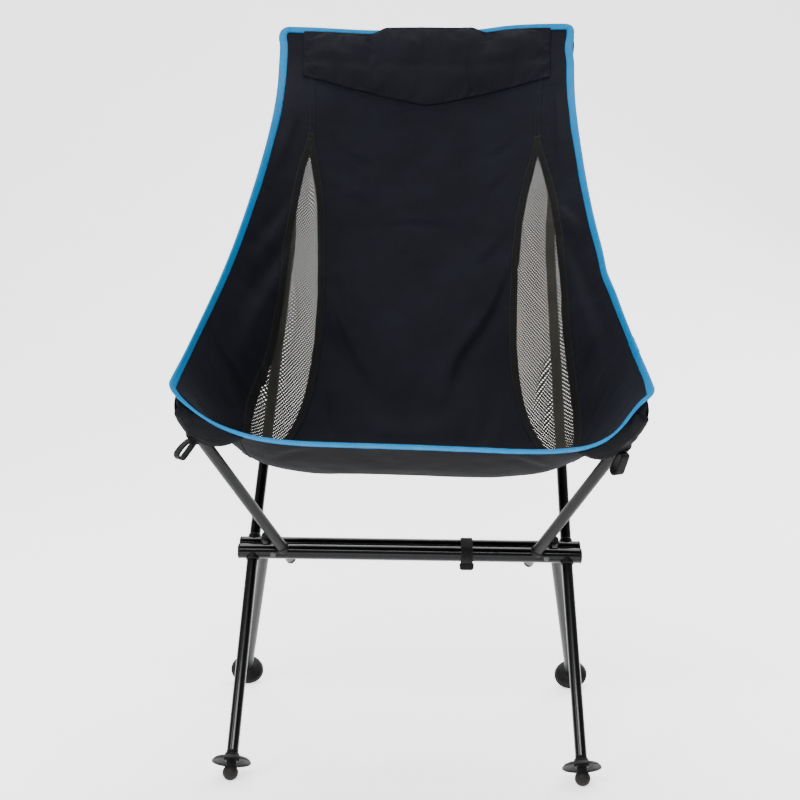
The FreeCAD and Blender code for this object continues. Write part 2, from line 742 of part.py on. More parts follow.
def sling_point(across, down):
    """Point of the sling's middle surface; across runs -1..1, down runs 0..1."""
    out, edge_back, edge_up, back, up, power, sway = [curve(down) for curve in SHAPE]
    share = abs(across) ** power
    for side, place, spread, outward in EDGE_WAVES:
        if side * across > 0:
            sway += side * outward * abs(across) ** 6 * math.exp(-((down - place) / spread) ** 2)
    rise = TOP_RISE(across) * math.exp(-(down / 0.12) ** 2)
    rise += FRONT_RISE(across) * math.exp(-((1.0 - down) / 0.07) ** 2)
    return Vector(out * across + sway, mm("hub_back") + back + (edge_back - back) * share,
                  up + (edge_up - up) * share + rise)


def sling_slopes(across, down):
    nudge = 0.002
    a = (sling_point(across + nudge, down) - sling_point(across - nudge, down)) / (2 * nudge)
    b = (sling_point(across, down + nudge) - sling_point(across, down - nudge)) / (2 * nudge)
    return a, b


def sling_normal(across, down):
    """Unit normal on the sitter's side."""
    a, b = sling_slopes(across, down)
    normal = b.cross(a)
    return normal / normal.Length


def side_inset(down, width):
    return 1.0 - width / sling_slopes(1.0, down)[0].Length


def top_inset(across, width):
    return width / sling_slopes(across, 0.0)[1].Length


def front_inset(across, width):
    return 1.0 - width / sling_slopes(across, 1.0)[1].Length


def sheet_solid(name, where, columns, rows, low, high):
    """Closed thin solid between two offset surfaces over a patch of the sling."""
    faces = []
    for offset in (low, high):
        grid = []
        for i in range(columns + 1):
            line = []
            for j in range(rows + 1):
                a = i / columns
                b = j / rows
                across, down = where(a, b)
                amount = offset(a, b) if callable(offset) else offset
                line.append(sling_point(across, down) + sling_normal(across, down) * amount)
            grid.append(line)
        surface = Part.BSplineSurface()
        surface.interpolate(grid)
        faces.append(surface.toShape())
    sides = []
    for lower_edge in faces[0].Edges:
        middle = lower_edge.valueAt((lower_edge.FirstParameter + lower_edge.LastParameter) / 2)
        partner = min(faces[1].Edges, key=lambda edge: edge.valueAt(
            (edge.FirstParameter + edge.LastParameter) / 2).distanceToPoint(middle))
        sides.append(Part.makeRuledSurface(lower_edge, partner))
    shell = Part.Shell(faces + sides)
    shell.sewShape()
    solid = Part.Solid(shell)
    if solid.Volume < 0:
        solid.reverse()
    obj = doc.addObject("Part::Feature", name)
    obj.Shape = solid
    return obj


SEAM_GAP = 0.25


def mix(a, b, share):
    return a + (b - a) * share


def down_between(across, share, start_width, end_width):
    return mix(top_inset(across, start_width), front_inset(across, end_width), share)


def nudge_across(down, length):
    return length / SHAPE[0](down)


def centre_panel():
    inset = mm("binding_width") + SEAM_GAP

    def where(a, b):
        down = b
        for settle in range(3):
            half = MESH_MIDDLE(down) - mesh_half(down) - nudge_across(down, SEAM_GAP)
            across = mix(-half, half, a)
            down = down_between(across, b, inset, inset)
        return across, down

    half = mm("fabric_thick") / 2
    return sheet_solid("centre_panel", where, 14, 56, -half, half)


def wing_panel(label, side):
    inset = mm("binding_width") + SEAM_GAP

    def where(a, b):
        down = b
        for settle in range(3):
            inner = mesh_outer(side, down) + nudge_across(down, SEAM_GAP)
            across = mix(inner, side_inset(down, inset), a)
            down = down_between(across, b, inset, inset)
        return side * across, down

    half = mm("fabric_thick") / 2
    return sheet_solid("wing_panel_" + label, where, 8, 56, -half, half)


def mesh_panel(label, side):
    def where(a, b):
        down = mix(MESH_TOP + 0.030, MESH_FOOT - 0.032, b)
        gap = nudge_across(down, SEAM_GAP)
        inner = MESH_MIDDLE(down) - mesh_half(down) + gap
        return side * mix(inner, mesh_outer(side, down) - gap, a), down

    half = mm("fabric_thick") / 2 - 0.2
    return sheet_solid("mesh_panel_" + label, where, 5, 34, -half, half)


def seam_tape(name, side, outer, first, last):
    """Flat tape on the sitter's face, centred on one seam of a mesh panel."""
    def where(a, b):
        down = mix(first, last, b)
        middle = mesh_outer(side, down) if outer else MESH_MIDDLE(down) - mesh_half(down)
        half = nudge_across(down, mm("tape_width") / 2)
        return side * (middle + mix(-half, half, a)), down

    low = mm("fabric_thick") / 2 + 0.2
    return sheet_solid(name, where, 3, 24, low, low + mm("tape_thick"))


def headrest_panel():
    """Puffed panel over the top of the back, with a shallow V along its lower seam."""
    def where(a, b):
        across = mix(-0.84, 0.84, a)
        top = -0.009 * (1.0 - abs(2 * a - 1) ** 2.5) + 0.004
        foot = 0.206 - 0.075 * math.sqrt(across * across + 0.003)
        return across, mix(top, foot, b)

    low = mm("binding_thick") / 2 + 0.3

    def puff(a, b):
        rim = (1.0 - abs(2 * a - 1) ** 6) * math.sin(math.pi * min(1.0, b + 0.06)) ** 0.6
        crease = 1.0 - 0.45 * math.exp(-((b - 0.52) / 0.13) ** 2)
        return low + 1.4 + 8.5 * rim * crease * mix(1.0, 0.55, b)

    return sheet_solid("headrest_panel", where, 16, 14, low, puff)


def edge_binding():
    """Folded tape around the whole sling, mitred apart at the corners."""
    width = mm("binding_width")
    half = mm("binding_thick") / 2
    strips = []
    for label, side in SIDES:
        def where(a, b, side=side):
            first = top_inset(1.0, width + 0.3)
            down = mix(first, front_inset(1.0, width + 0.3), b)
            return side * mix(side_inset(down, width), 1.0, a), down
        strips.append(sheet_solid("side_binding_" + label, where, 3, 34, -half, half))

    def top(a, b):
        across = mix(-1.0, 1.0, a)
        return across, mix(0.0, top_inset(across, width), b)

    def front(a, b):
        across = mix(-1.0, 1.0, a)
        return across, mix(front_inset(across, width), 1.0, b)

    strips.append(sheet_solid("top_binding", top, 24, 3, -half, half))
    strips.append(sheet_solid("front_binding", front, 30, 3, -half, half))
    return group("edge_binding", strips)


def pocket(name, placement, rings, bore, depth):
    """Sewn sleeve: a lofted outer skin around the tip of a pole."""
    sections = []
    for index, (height, wide, deep, shift) in enumerate(rings):
        ring = doc.addObject("Part::Ellipse", "%s_ring_%d" % (name, index))
        ring.MajorRadius = max(wide, deep)
        ring.MinorRadius = min(wide, deep)
        turn = Rotation(Vector(0, 0, 1), 0 if wide >= deep else 90)
        ring.Placement = placement.multiply(Placement(Vector(0, shift, height), turn))
        sections.append(ring)
    skin = doc.addObject("Part::Loft", name + "_skin")
    skin.Sections = sections
    skin.Solid = True
    skin.Ruled = False
    hole = cylinder(name + "_bore", bore, depth, placement.multiply(
        Placement(Vector(0, 0, rings[0][0] - 5.0), Rotation())))
    tip = doc.addObject("Part::Sphere", name + "_bore_tip")
    set_dim(tip, "Radius", bore / 2)
    tip.Placement = placement.multiply(
        Placement(Vector(0, 0, rings[0][0] - 5.0 + as_dim(depth).number), Rotation()))
    return cut(name, skin, [hole, tip])


# Depth of the two front pockets below the pole tips, webbing band included.
MOUTH = {"left": 42.0, "right": 54.0}
BAND = 12.0


def front_pocket(label, side):
    """Pocket under a front corner, from its webbing band to past the pole's tip."""
    point, direction, length = seat_pole_line(side)
    bore = D["pole_outer"] + 0.8
    low = length - MOUTH[label] + BAND + 0.5
    rings = [(low, 9.8, 9.4, 0), (low + 8, 10.4, 9.5, 0), (length - 8, 10.6, 9.3, 0),
             (length + 2, 9.8, 8.8, 0), (length + 9.5, 6.6, 5.4, 0)]
    return pocket("front_pocket_" + label, along(point, direction), rings, bore,
                  length + 5.3 - low)


def top_pocket(label, side):
    """Pocket behind a top corner that the back pole's tip stands in."""
    frame = back_top_placement(side)
    bore = D["pole_outer"] + 0.8
    rings = [(-58, 10.2, 9.6, 0), (-30, 10.6, 10.0, -0.6), (-6, 10.4, 9.8, -0.8), (3, 9.2, 8.8, -0.6),
             (10, 6.4, 5.6, -0.4)]
    return pocket("top_pocket_" + label, frame, rings, bore, 63.3)


def pull_loop(label, side, tilt, turn, clear):
    """Webbing band around the pocket's mouth with a hanging finger loop."""
    name = "front_pull_loop_" + label
    point, direction, length = seat_pole_line(side)
    mouth = point + direction * (length - MOUTH[label])
    band = tube(name + "_band", D["pole_outer"] + 3.0 + 2 * D["webbing_thick"],
                D["pole_outer"] + 3.0, BAND)
    band.Placement = along(mouth, direction)
    body = doc.addObject("PartDesign::Body", name + "_ring")
    sketch = new_sketch(body, name + "_outline", "XZ_Plane")
    stadium(sketch, 17.5, 4.2)
    stadium(sketch, 17.5, 4.2 + mm("webbing_thick"))
    pad = body.newObject("PartDesign::Pad", name + "_pad")
    pad.Profile = sketch
    set_dim(pad, "Length", D["webbing_width"])
    pad.Midplane = True
    body.Tip = pad
    hang = Rotation(Vector(0, 0, 1), turn).multiply(Rotation(Vector(0, 1, 0), tilt))
    away = hang.multVec(Vector(1, 0, 0))
    away = (away - direction * away.dot(direction)).normalize()
    body.Placement = Placement(mouth + direction * 4.5 + away * clear, hang)
    return fused(name, [band, body])


def build_sling():
    node("centre_panel", centre_panel())
    node("headrest_panel", headrest_panel())
    for label, side in SIDES:
        node("wing_panel_" + label, wing_panel(label, side))
        node("mesh_panel_" + label, mesh_panel(label, side))
        node("seam_tapes_" + label, group("seam_tapes_" + label, [
            seam_tape("inner_tape_" + label, side, False, 0.29, 0.865),
            seam_tape("outer_tape_" + label, side, True, 0.34, 0.845)]))
        node("front_pocket_" + label, front_pocket(label, side))
        node("top_pocket_" + label, top_pocket(label, side))
    node("front_pull_loop_left", pull_loop("left", -1, 48.0, 215.0, 15.0))
    node("front_pull_loop_right", pull_loop("right", 1, 66.0, 132.0, 17.2))
    node("edge_binding", edge_binding())


# ------------------------------------------------------------- storage strap
def storage_strap():
    """Hook-and-loop strap closed around both crossbars, with a short hanging tail."""
    gap = (REAR_BAR - FRONT_BAR).Length
    inner = mm("bar_outer") / 2 + mm("strap_slack")
    body = doc.addObject("PartDesign::Body", "strap_loop")
    sketch = new_sketch(body, "strap_outline", "XY_Plane")
    stadium(sketch, gap, inner)
    stadium(sketch, gap, inner + mm("strap_thick"))
    pad = body.newObject("PartDesign::Pad", "strap_pad")
    pad.Profile = sketch
    set_dim(pad, "Length", D["strap_width"])
    pad.Midplane = True
    body.Tip = pad
    forward = rivet_direction()
    upward = Vector(1, 0, 0).cross(forward)
    turn = Rotation(forward, upward, Vector(1, 0, 0), "ZXY")
    body.Placement = Placement(FRONT_BAR + Vector(mm("strap_place"), 0, 0), turn)
    tail = doc.addObject("Part::Box", "strap_tail")
    set_dim(tail, "Length", D["strap_width"] + 4.0)
    set_dim(tail, "Width", D["strap_thick"] + 0.4)
    low = inner + mm("strap_thick") + 9.0
    tail.Height = low - inner + 0.1
    tail.Placement = Placement(FRONT_BAR + Vector(
        mm("strap_place") - mm("strap_width") / 2 - 2.0, -4.5, -low), Rotation())
    return fused("storage_strap", [body, tail])


# --------------------------------------------------------------------- build
build_hub()
build_legs()
build_poles()
build_sling()
node("storage_strap", storage_strap())
doc.recompute()

for obj in doc.Objects:
    if "Invalid" in obj.State or "Error" in obj.State:
        raise RuntimeError("bad state: %s %s" % (obj.Name, obj.State))

whole = FreeCAD.BoundBox()
for name, obj in NODES:
    shape = obj.Shape
    if shape.isNull() or not shape.isValid() or shape.Volume <= 0:
        raise RuntimeError("bad shape: " + name)
    shape.exportStep("parts/%s.step" % name)
    whole.add(shape.BoundBox)
print("nodes", len(NODES))
print("box", whole.XMin, whole.XMax, whole.YMin, whole.YMax, whole.ZMin, whole.ZMax)
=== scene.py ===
import math

import bpy
import numpy as np
from mathutils import Matrix, Vector


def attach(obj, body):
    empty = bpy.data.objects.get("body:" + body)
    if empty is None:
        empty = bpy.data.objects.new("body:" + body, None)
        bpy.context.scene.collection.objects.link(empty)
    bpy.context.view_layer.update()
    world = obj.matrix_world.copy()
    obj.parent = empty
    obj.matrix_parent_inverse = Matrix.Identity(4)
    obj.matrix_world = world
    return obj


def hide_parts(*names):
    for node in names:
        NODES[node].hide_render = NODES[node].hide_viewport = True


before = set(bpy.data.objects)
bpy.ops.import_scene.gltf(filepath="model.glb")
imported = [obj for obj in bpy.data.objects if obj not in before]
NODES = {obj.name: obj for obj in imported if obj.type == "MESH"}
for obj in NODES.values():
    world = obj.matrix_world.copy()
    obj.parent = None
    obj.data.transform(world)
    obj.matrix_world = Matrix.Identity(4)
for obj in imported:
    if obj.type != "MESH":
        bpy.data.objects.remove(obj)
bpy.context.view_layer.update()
SIDES = (("left", -1), ("right", 1))


# ------------------------------------------------------------ sling surface
def natural_spline(knots, values):
    """Natural cubic spline through the values, for numbers or arrays."""
    knots = np.array(knots, float)
    values = np.array(values, float)
    step = np.diff(knots)
    slope = np.diff(values) / step
    count = len(knots)
    matrix = np.eye(count)
    right = np.zeros(count)
    for i in range(1, count - 1):
        matrix[i, i - 1:i + 2] = (step[i - 1], 2 * (step[i - 1] + step[i]), step[i])
        right[i] = 6 * (slope[i] - slope[i - 1])
    bend = np.linalg.solve(matrix, right)

    def at(place):
        place = np.asarray(place, float)
        i = np.clip(np.searchsorted(knots, place, side="left") - 1, 0, count - 2)
        a = place - knots[i]
        first = slope[i] - step[i] * (2 * bend[i] + bend[i + 1]) / 6
        return values[i] + a * (first + a * (bend[i] / 2 + a * (bend[i + 1] - bend[i]) / (6 * step[i])))

    return at


# The stations of the sling in part.py: (down, edge out, edge back, edge height, centre back,
# centre height, bowl sharpness, sway), in mm from the front crossbar.
HUB_BACK = -93.5
STATIONS = [
    (0.00, 223, 362, 984, 363, 981, 2.2, 15.5),
    (0.10, 221, 324, 928, 340, 922, 2.4, 14.5),
    (0.22, 219, 269, 868, 311, 850, 2.6, 13.5),
    (0.35, 224, 195, 790, 268, 755, 2.8, 11.0),
    (0.48, 235, 110, 703, 212, 650, 3.0, 7.0),
    (0.60, 250, 38, 628, 150, 548, 3.4, 4.4),
    (0.70, 261, -22, 580, 88, 450, 4.5, 2.6),
    (0.80, 270, -78, 543, 15, 377, 6.0, 1.6),
    (0.88, 277, -125, 515, -60, 362, 6.0, 1.2),
    (0.95, 281, -168, 496, -135, 386, 5.2, 0.6),
    (1.00, 283, -203, 482, -190, 416, 4.8, 0.0),
]
SHAPE = [natural_spline([s[0] for s in STATIONS], [s[i] for s in STATIONS]) for i in range(1, 8)]
MESH_MIDDLE = natural_spline(
    [0.0, 0.15, 0.32, 0.42, 0.50, 0.62, 0.69, 0.735, 0.78, 0.83, 0.87, 0.94, 1.0],
    [0.80, 0.775, 0.743, 0.723, 0.704, 0.668, 0.665, 0.680, 0.702, 0.721, 0.729, 0.735, 0.745])
MESH_TOP = 0.30
MESH_FOOT = 0.91
MESH_HALF = natural_spline(
    [0.30, 0.325, 0.35, 0.38, 0.42, 0.50, 0.62, 0.69, 0.735, 0.78, 0.82, 0.85, 0.88, 0.91],
    [0.0, 0.019, 0.040, 0.063, 0.091, 0.123, 0.137, 0.131, 0.120, 0.097, 0.066, 0.037, 0.011, 0.0])

# How much farther in the left mesh panel's outer edge runs, as a share of the half width.
MESH_TUCK = natural_spline(
    [0.30, 0.366, 0.426, 0.51, 0.586, 0.631, 0.675, 0.714, 0.758, 0.80, 0.91],
    [0.0, 0.011, 0.037, 0.055, 0.060, 0.057, 0.046, 0.025, 0.004, -0.004, 0.0])

# How much the top edge and the front edge ride up (mm) at places across the sling.
TOP_RISE = natural_spline([-1.0, -0.7, -0.37, 0.0, 0.3, 0.4, 0.5, 0.65, 0.8, 1.0],
                          [0.0, 0.0, -1.5, 0.0, 0.6, 2.7, 5.8, 8.3, 9.0, 8.5])
FRONT_RISE = natural_spline(
    [-1.0, -0.8, -0.4, 0.0, 0.27, 0.4, 0.53, 0.67, 0.8, 0.865, 0.93, 1.0],
    [0.0, 0.0, 1.2, 0.0, -2.2, -3.9, -6.5, -10.3, -12.0, -7.0, 3.0, 0.0])
# Waves of the side edges: side, place down the edge, spread, outward in mm.
EDGE_WAVES = [(-1, 0.030, 0.020, 2.6), (1, 0.066, 0.024, -3.0), (1, 0.615, 0.035, -2.6)]


def mesh_half(down):
    inside = (down > MESH_TOP) & (down < MESH_FOOT)
    return np.where(inside, np.maximum(0.0, MESH_HALF(down)), 0.0)


def mesh_outer(side, down):
    """Outer edge of a mesh panel."""
    half = mesh_half(down)
    tuck = np.where((side < 0) & (half > 0), np.minimum(MESH_TUCK(down), 1.5 * half), 0.0)
    return MESH_MIDDLE(down) + half - tuck


def plain_sling(across, down):
    """Smooth middle surface of the sling, in metres; across -1..1, down 0..1."""
    out, edge_back, edge_up, back, up, power, sway = [curve(down) for curve in SHAPE]
    share = np.abs(across) ** power
    for side, place, spread, outward in EDGE_WAVES:
        sway = sway + np.where(side * across > 0, side * outward * np.abs(across) ** 6, 0.0) * np.exp(
            -((down - place) / spread) ** 2)
    rise = TOP_RISE(across) * np.exp(-(down / 0.12) ** 2)
    rise = rise + FRONT_RISE(across) * np.exp(-((1.0 - down) / 0.07) ** 2)
    return np.stack([out * across + sway,
                     HUB_BACK + back + (edge_back - back) * share,
                     up + (edge_up - up) * share + rise], -1) / 1000.0


def unit(vectors):
    return vectors / np.linalg.norm(vectors, axis=-1, keepdims=True)


def reach_along(points):
    """Length from the first point to each point of a line."""
    return np.concatenate([[0], np.cumsum(np.linalg.norm(np.diff(points, axis=0), axis=1))])


def slopes(across, down):
    nudge = 0.002
    a = (plain_sling(across + nudge, down) - plain_sling(across - nudge, down)) / (2 * nudge)
    b = (plain_sling(across, down + nudge) - plain_sling(across, down - nudge)) / (2 * nudge)
    return a, b


def sling_normal(across, down):
    """Unit normal on the sitter's side."""
    a, b = slopes(across, down)
    return unit(np.cross(b, a))


# Length of cloth from the top edge to a station, in mm, used to measure folds on the flat.
_reach = np.linspace(0.0, 1.0, 401)
_line = plain_sling(np.full(401, 0.45), _reach) * 1000.0
_length = reach_along(_line)


def flat_place(across, down):
    """Where a point of the sling lies on the cloth laid flat, in mm."""
    return across * SHAPE[0](down), np.interp(down, _reach, _length)


# ------------------------------------------------------------- folds, wrinkles
def lattice_noise(x, y, cell, seed):
    """Smooth noise of about -1..1 with bumps of the given size."""
    table = np.random.RandomState(seed).uniform(-1, 1, (64, 64))
    u, v = x / cell + 1000.3, y / cell + 1000.7
    i, j = np.floor(u).astype(int), np.floor(v).astype(int)
    a, b = u - i, v - j
    a, b = a * a * (3 - 2 * a), b * b * (3 - 2 * b)

    def at(p, q):
        return table[(i + p) % 64, (j + q) % 64]

    return ((at(0, 0) * (1 - a) + at(1, 0) * a) * (1 - b)
            + (at(0, 1) * (1 - a) + at(1, 1) * a) * b) * 1.5


# Each fold: (points as (across, down), height in mm, half width in mm, side of its hollow).
FOLDS = [
    ([(-0.79, 0.43), (-0.84, 0.50), (-0.905, 0.57)], 3.2, 8, 1),
    ([(-0.755, 0.52), (-0.80, 0.585), (-0.847, 0.65), (-0.885, 0.75)], 5.5, 9, 1),
    ([(-0.86, 0.25), (-0.90, 0.33), (-0.95, 0.40)], 1.8, 9, -1),
    ([(-0.90, 0.70), (-0.92, 0.80), (-0.90, 0.90)], 2.6, 12, 1),
    ([(-0.80, 0.80), (-0.86, 0.86), (-0.93, 0.93)], 2.2, 10, -1),
    ([(0.84, 0.44), (0.885, 0.475), (0.93, 0.51)], 3.2, 8, -1),
    ([(0.83, 0.51), (0.87, 0.60), (0.906, 0.69), (0.93, 0.80), (0.915, 0.88)], 5.8, 9, -1),
    ([(0.888, 0.20), (0.882, 0.27), (0.872, 0.35)], 2.8, 7, 1),
    ([(0.86, 0.62), (0.845, 0.72), (0.86, 0.82)], 2.4, 11, 1),
    ([(-0.50, 0.56), (-0.41, 0.61), (-0.31, 0.65), (-0.17, 0.70)], 5.0, 9, 1),
    ([(-0.44, 0.53), (-0.37, 0.565), (-0.30, 0.585)], 2.0, 7, 1),
    ([(0.56, 0.50), (0.47, 0.555), (0.36, 0.605), (0.22, 0.65), (0.16, 0.70)], 5.2, 9, -1),
    ([(0.50, 0.46), (0.42, 0.49), (0.33, 0.505)], 1.8, 7, -1),
    ([(-0.24, 0.436), (0.0, 0.431), (0.22, 0.434)], 1.3, 6, 1),
    ([(-0.58, 0.29), (-0.46, 0.315), (-0.34, 0.322)], 1.6, 7, 1),
    ([(0.62, 0.27), (0.50, 0.30), (0.38, 0.312)], 1.6, 7, -1),
    ([(-0.56, 0.36), (-0.47, 0.385), (-0.39, 0.39)], 1.2, 6, 1),
    ([(0.55, 0.345), (0.47, 0.365), (0.40, 0.375)], 1.2, 6, -1),
    ([(-0.30, 0.74), (-0.10, 0.76), (0.12, 0.755), (0.30, 0.735)], 2.4, 16, 1),
    ([(-0.46, 0.70), (-0.42, 0.76), (-0.34, 0.80)], 2.6, 9, -1),
    ([(0.44, 0.70), (0.41, 0.76), (0.33, 0.80)], 2.6, 9, 1),
    ([(-0.62, 0.93), (-0.52, 0.965), (-0.40, 0.985)], 1.8, 9, 1),
    ([(0.60, 0.93), (0.50, 0.965), (0.38, 0.985)], 1.8, 9, -1),
    ([(-0.70, 0.38), (-0.68, 0.41), (-0.655, 0.44)], 4.5, 3.6, 1),
    ([(-0.72, 0.545), (-0.675, 0.60), (-0.665, 0.64), (-0.68, 0.69), (-0.64, 0.735)], 5.5, 4.0, 1),
    ([(-0.79, 0.695), (-0.75, 0.73), (-0.70, 0.76)], 4.5, 3.8, 1),
    ([(0.63, 0.445), (0.66, 0.49), (0.68, 0.53)], 4.5, 3.6, -1),
    ([(0.585, 0.52), (0.62, 0.565), (0.70, 0.61)], 5.5, 4.0, -1),
    ([(0.72, 0.665), (0.66, 0.70), (0.60, 0.735)], 5.5, 4.0, -1),
    ([(0.70, 0.72), (0.67, 0.75), (0.64, 0.78)], 4.5, 3.8, -1),
]


def smooth_path(points, count=40):
    """Rounded line through a fold's points, on the flat cloth."""
    knots = np.linspace(0, 1, len(points))
    places = np.linspace(0, 1, count)
    across = natural_spline(knots, [p[0] for p in points])(places)
    down = natural_spline(knots, [p[1] for p in points])(places)
    return np.stack(flat_place(across, down), -1)


FOLD_PATHS = [(smooth_path(points), height, width, side) for points, height, width, side in FOLDS]


def crease(x, y, path, height, width, side):
    """Ridge along a path with a hollow beside it, fading out at both ends."""
    best = np.full(x.shape, 1e9)
    signed = np.zeros(x.shape)
    along = np.zeros(x.shape)
    count = len(path) - 1
    for i in range(count):
        p, q = path[i], path[i + 1]
        run = q - p
        size = max(1e-6, run.dot(run))
        t = np.clip(((x - p[0]) * run[0] + (y - p[1]) * run[1]) / size, 0, 1)
        dx, dy = x - p[0] - t * run[0], y - p[1] - t * run[1]
        near = dx * dx + dy * dy
        closer = near < best
        best = np.where(closer, near, best)
        turn = np.where(run[0] * dy - run[1] * dx > 0, 1.0, -1.0) * side
        signed = np.where(closer, turn * np.sqrt(near), signed)
        along = np.where(closer, (i + t) / count, along)
    fade = np.sin(math.pi * np.clip(along, 0, 1) * 0.94 + 0.09) ** 0.8
    width = width * (0.75 + 0.6 * along)
    ridge = np.exp(-np.where(signed > 0, signed / (0.62 * width), signed / (1.25 * width)) ** 2)
    hollow = np.exp(-((signed - 1.35 * width) / (0.95 * width)) ** 2)
    return height * fade * (ridge - 0.62 * hollow)


def folds(across, down):
    """How far the cloth stands off the smooth surface, in metres, on the sitter's side."""
    across = np.asarray(across, float)
    down = np.asarray(down, float)
    across, down = np.broadcast_arrays(across, down)
    x, y = flat_place(across, down)
    rise = np.zeros(x.shape)
    for path, height, width, side in FOLD_PATHS:
        rise += crease(x, y, path, height, width, side)
    rise += 1.5 * lattice_noise(x, y, 110.0, 3) + 0.7 * lattice_noise(x * 1.3, y * 0.8, 46.0, 5)
    rise += 0.28 * lattice_noise(x, y, 19.0, 8)
    to_side = (1 - np.abs(across)) * SHAPE[0](down)
    to_end = np.minimum(y, _length[-1] - y)
    edge = np.clip(np.minimum(to_side, to_end) / 26.0, 0, 1)
    rise *= edge * edge * (3 - 2 * edge)
    near_seam = np.minimum(np.abs(np.abs(across) - mesh_outer(np.sign(across), down)),
                           np.abs(np.abs(across) - MESH_MIDDLE(down) + mesh_half(down)))
    near_seam = near_seam * SHAPE[0](down)
    ripple = np.sin(y / 2.6 + 2.2 * lattice_noise(x, y, 40.0, 11))
    uneven = np.clip(0.5 + 0.9 * lattice_noise(x, y, 60.0, 14), 0.0, 1.3)
    rise += 0.20 * ripple * uneven * np.exp(-np.abs(near_seam - 5.0) / 5.0)
    rise += 0.16 * ripple * uneven * np.exp(-np.abs(to_side - 12.0) / 5.0)
    along_end = np.sin(x / 2.7 + 2.0 * lattice_noise(x, y, 40.0, 12))
    rise += 0.16 * along_end * uneven * np.exp(-np.abs(to_end - 12.0) / 5.0)
    return rise / 1000.0


def sling(across, down, offset=0.0):
    """Point on the folded sling, offset in metres towards the sitter."""
    across, down = np.broadcast_arrays(np.asarray(across, float), np.asarray(down, float))
    lift = (folds(across, down) + offset)[..., None]
    return plain_sling(across, down) + sling_normal(across, down) * lift


def inset(across, down, mm_across=0.0, mm_down=0.0):
    """Parameter steps that move a point by a number of millimetres."""
    a, b = slopes(np.asarray(across, float), np.asarray(down, float))
    return (mm_across / 1000.0 / np.linalg.norm(a, axis=-1),
            mm_down / 1000.0 / np.linalg.norm(b, axis=-1))


# ------------------------------------------------------------- mesh building
def mesh_object(name, verts, faces, materials, uv=None, slots=None, smooth=True):
    mesh = bpy.data.meshes.new(name)
    mesh.from_pydata(np.asarray(verts).tolist(), [], faces)
    for material in materials:
        mesh.materials.append(material)
    if uv is not None:
        layer = mesh.uv_layers.new(name="UVMap")
        corner = np.zeros(len(mesh.loops), int)
        mesh.loops.foreach_get("vertex_index", corner)
        layer.data.foreach_set("uv", np.asarray(uv, float)[corner].ravel())
    if slots is not None:
        mesh.polygons.foreach_set("material_index", slots)
    mesh.polygons.foreach_set("use_smooth", [smooth] * len(mesh.polygons))
    mesh.update()
    obj = bpy.data.objects.new(name, mesh)
    bpy.context.scene.collection.objects.link(obj)
    return obj


def finish_piece(obj, slot, *nodes, body="chair"):
    """Rides on its body and stands for its CAD nodes; its slot is not used."""
    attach(obj, body)
    if nodes:
        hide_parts(*nodes)
    return obj


def thin_sheet(name, top, bottom, uv, materials, back_slot=0):
    """Closed sheet between two grids of points of the same shape."""
    rows, columns = top.shape[:2]
    count = rows * columns
    index = np.arange(count).reshape(rows, columns)
    a, b, c, d = index[:-1, :-1], index[1:, :-1], index[1:, 1:], index[:-1, 1:]
    front = np.stack([a, b, c, d], -1).reshape(-1, 4)
    mid = 0.5 * (top + bottom)
    p, q = mid[1, 0] - mid[0, 0], mid[0, 1] - mid[0, 0]
    if np.dot(np.cross(p, q), top[0, 0] - bottom[0, 0]) < 0:
        front = front[:, ::-1]
    back = front[:, ::-1] + count
    rim = np.concatenate([index[0, :-1], index[:-1, -1], index[-1, :0:-1], index[:0:-1, 0]])
    ahead = np.roll(rim, -1)
    sides = np.stack([rim, ahead, ahead + count, rim + count], -1)
    test = np.array([top.reshape(-1, 3)[rim[0]], top.reshape(-1, 3)[ahead[0]],
                     bottom.reshape(-1, 3)[rim[0]]])
    outward = test[0] - mid.reshape(-1, 3).mean(0)
    if np.dot(np.cross(test[1] - test[0], test[2] - test[0]), outward) < 0:
        sides = sides[:, ::-1]
    faces = np.concatenate([front, back, sides])
    slots = np.concatenate([np.zeros(len(front), int), np.full(len(back), back_slot),
                            np.zeros(len(sides), int)])
    verts = np.concatenate([top.reshape(-1, 3), bottom.reshape(-1, 3)])
    flat = np.asarray(uv, float).reshape(-1, 2)
    return mesh_object(name, verts, faces.tolist(), materials, np.concatenate([flat, flat]), slots)


def share_grid(columns, rows):
    """Shares 0..1 across (a) and down (b) a patch."""
    b, a = np.meshgrid(np.linspace(0, 1, rows + 1), np.linspace(0, 1, columns + 1), indexing="ij")
    return a, b


def patch(name, where, columns, rows, low, high, materials, back_slot=0):
    """Closed cloth piece over a patch of the sling; where(a, b) gives across and down."""
    a, b = share_grid(columns, rows)
    across, down = where(a, b)
    base, normal, rise = plain_sling(across, down), sling_normal(across, down), folds(across, down)
    grids = []
    for offset in (high, low):
        amount = offset(a, b) if callable(offset) else offset
        grids.append(base + normal * (rise + amount)[..., None])
    x, y = flat_place(across, down)
    return thin_sheet(name, grids[0], grids[1], np.stack([x, y], -1) / 1000.0, materials, back_slot)


STITCH_RINGS = ((-1.0, 0.30), (-0.72, 0.92), (0.72, 0.92), (1.0, 0.30))


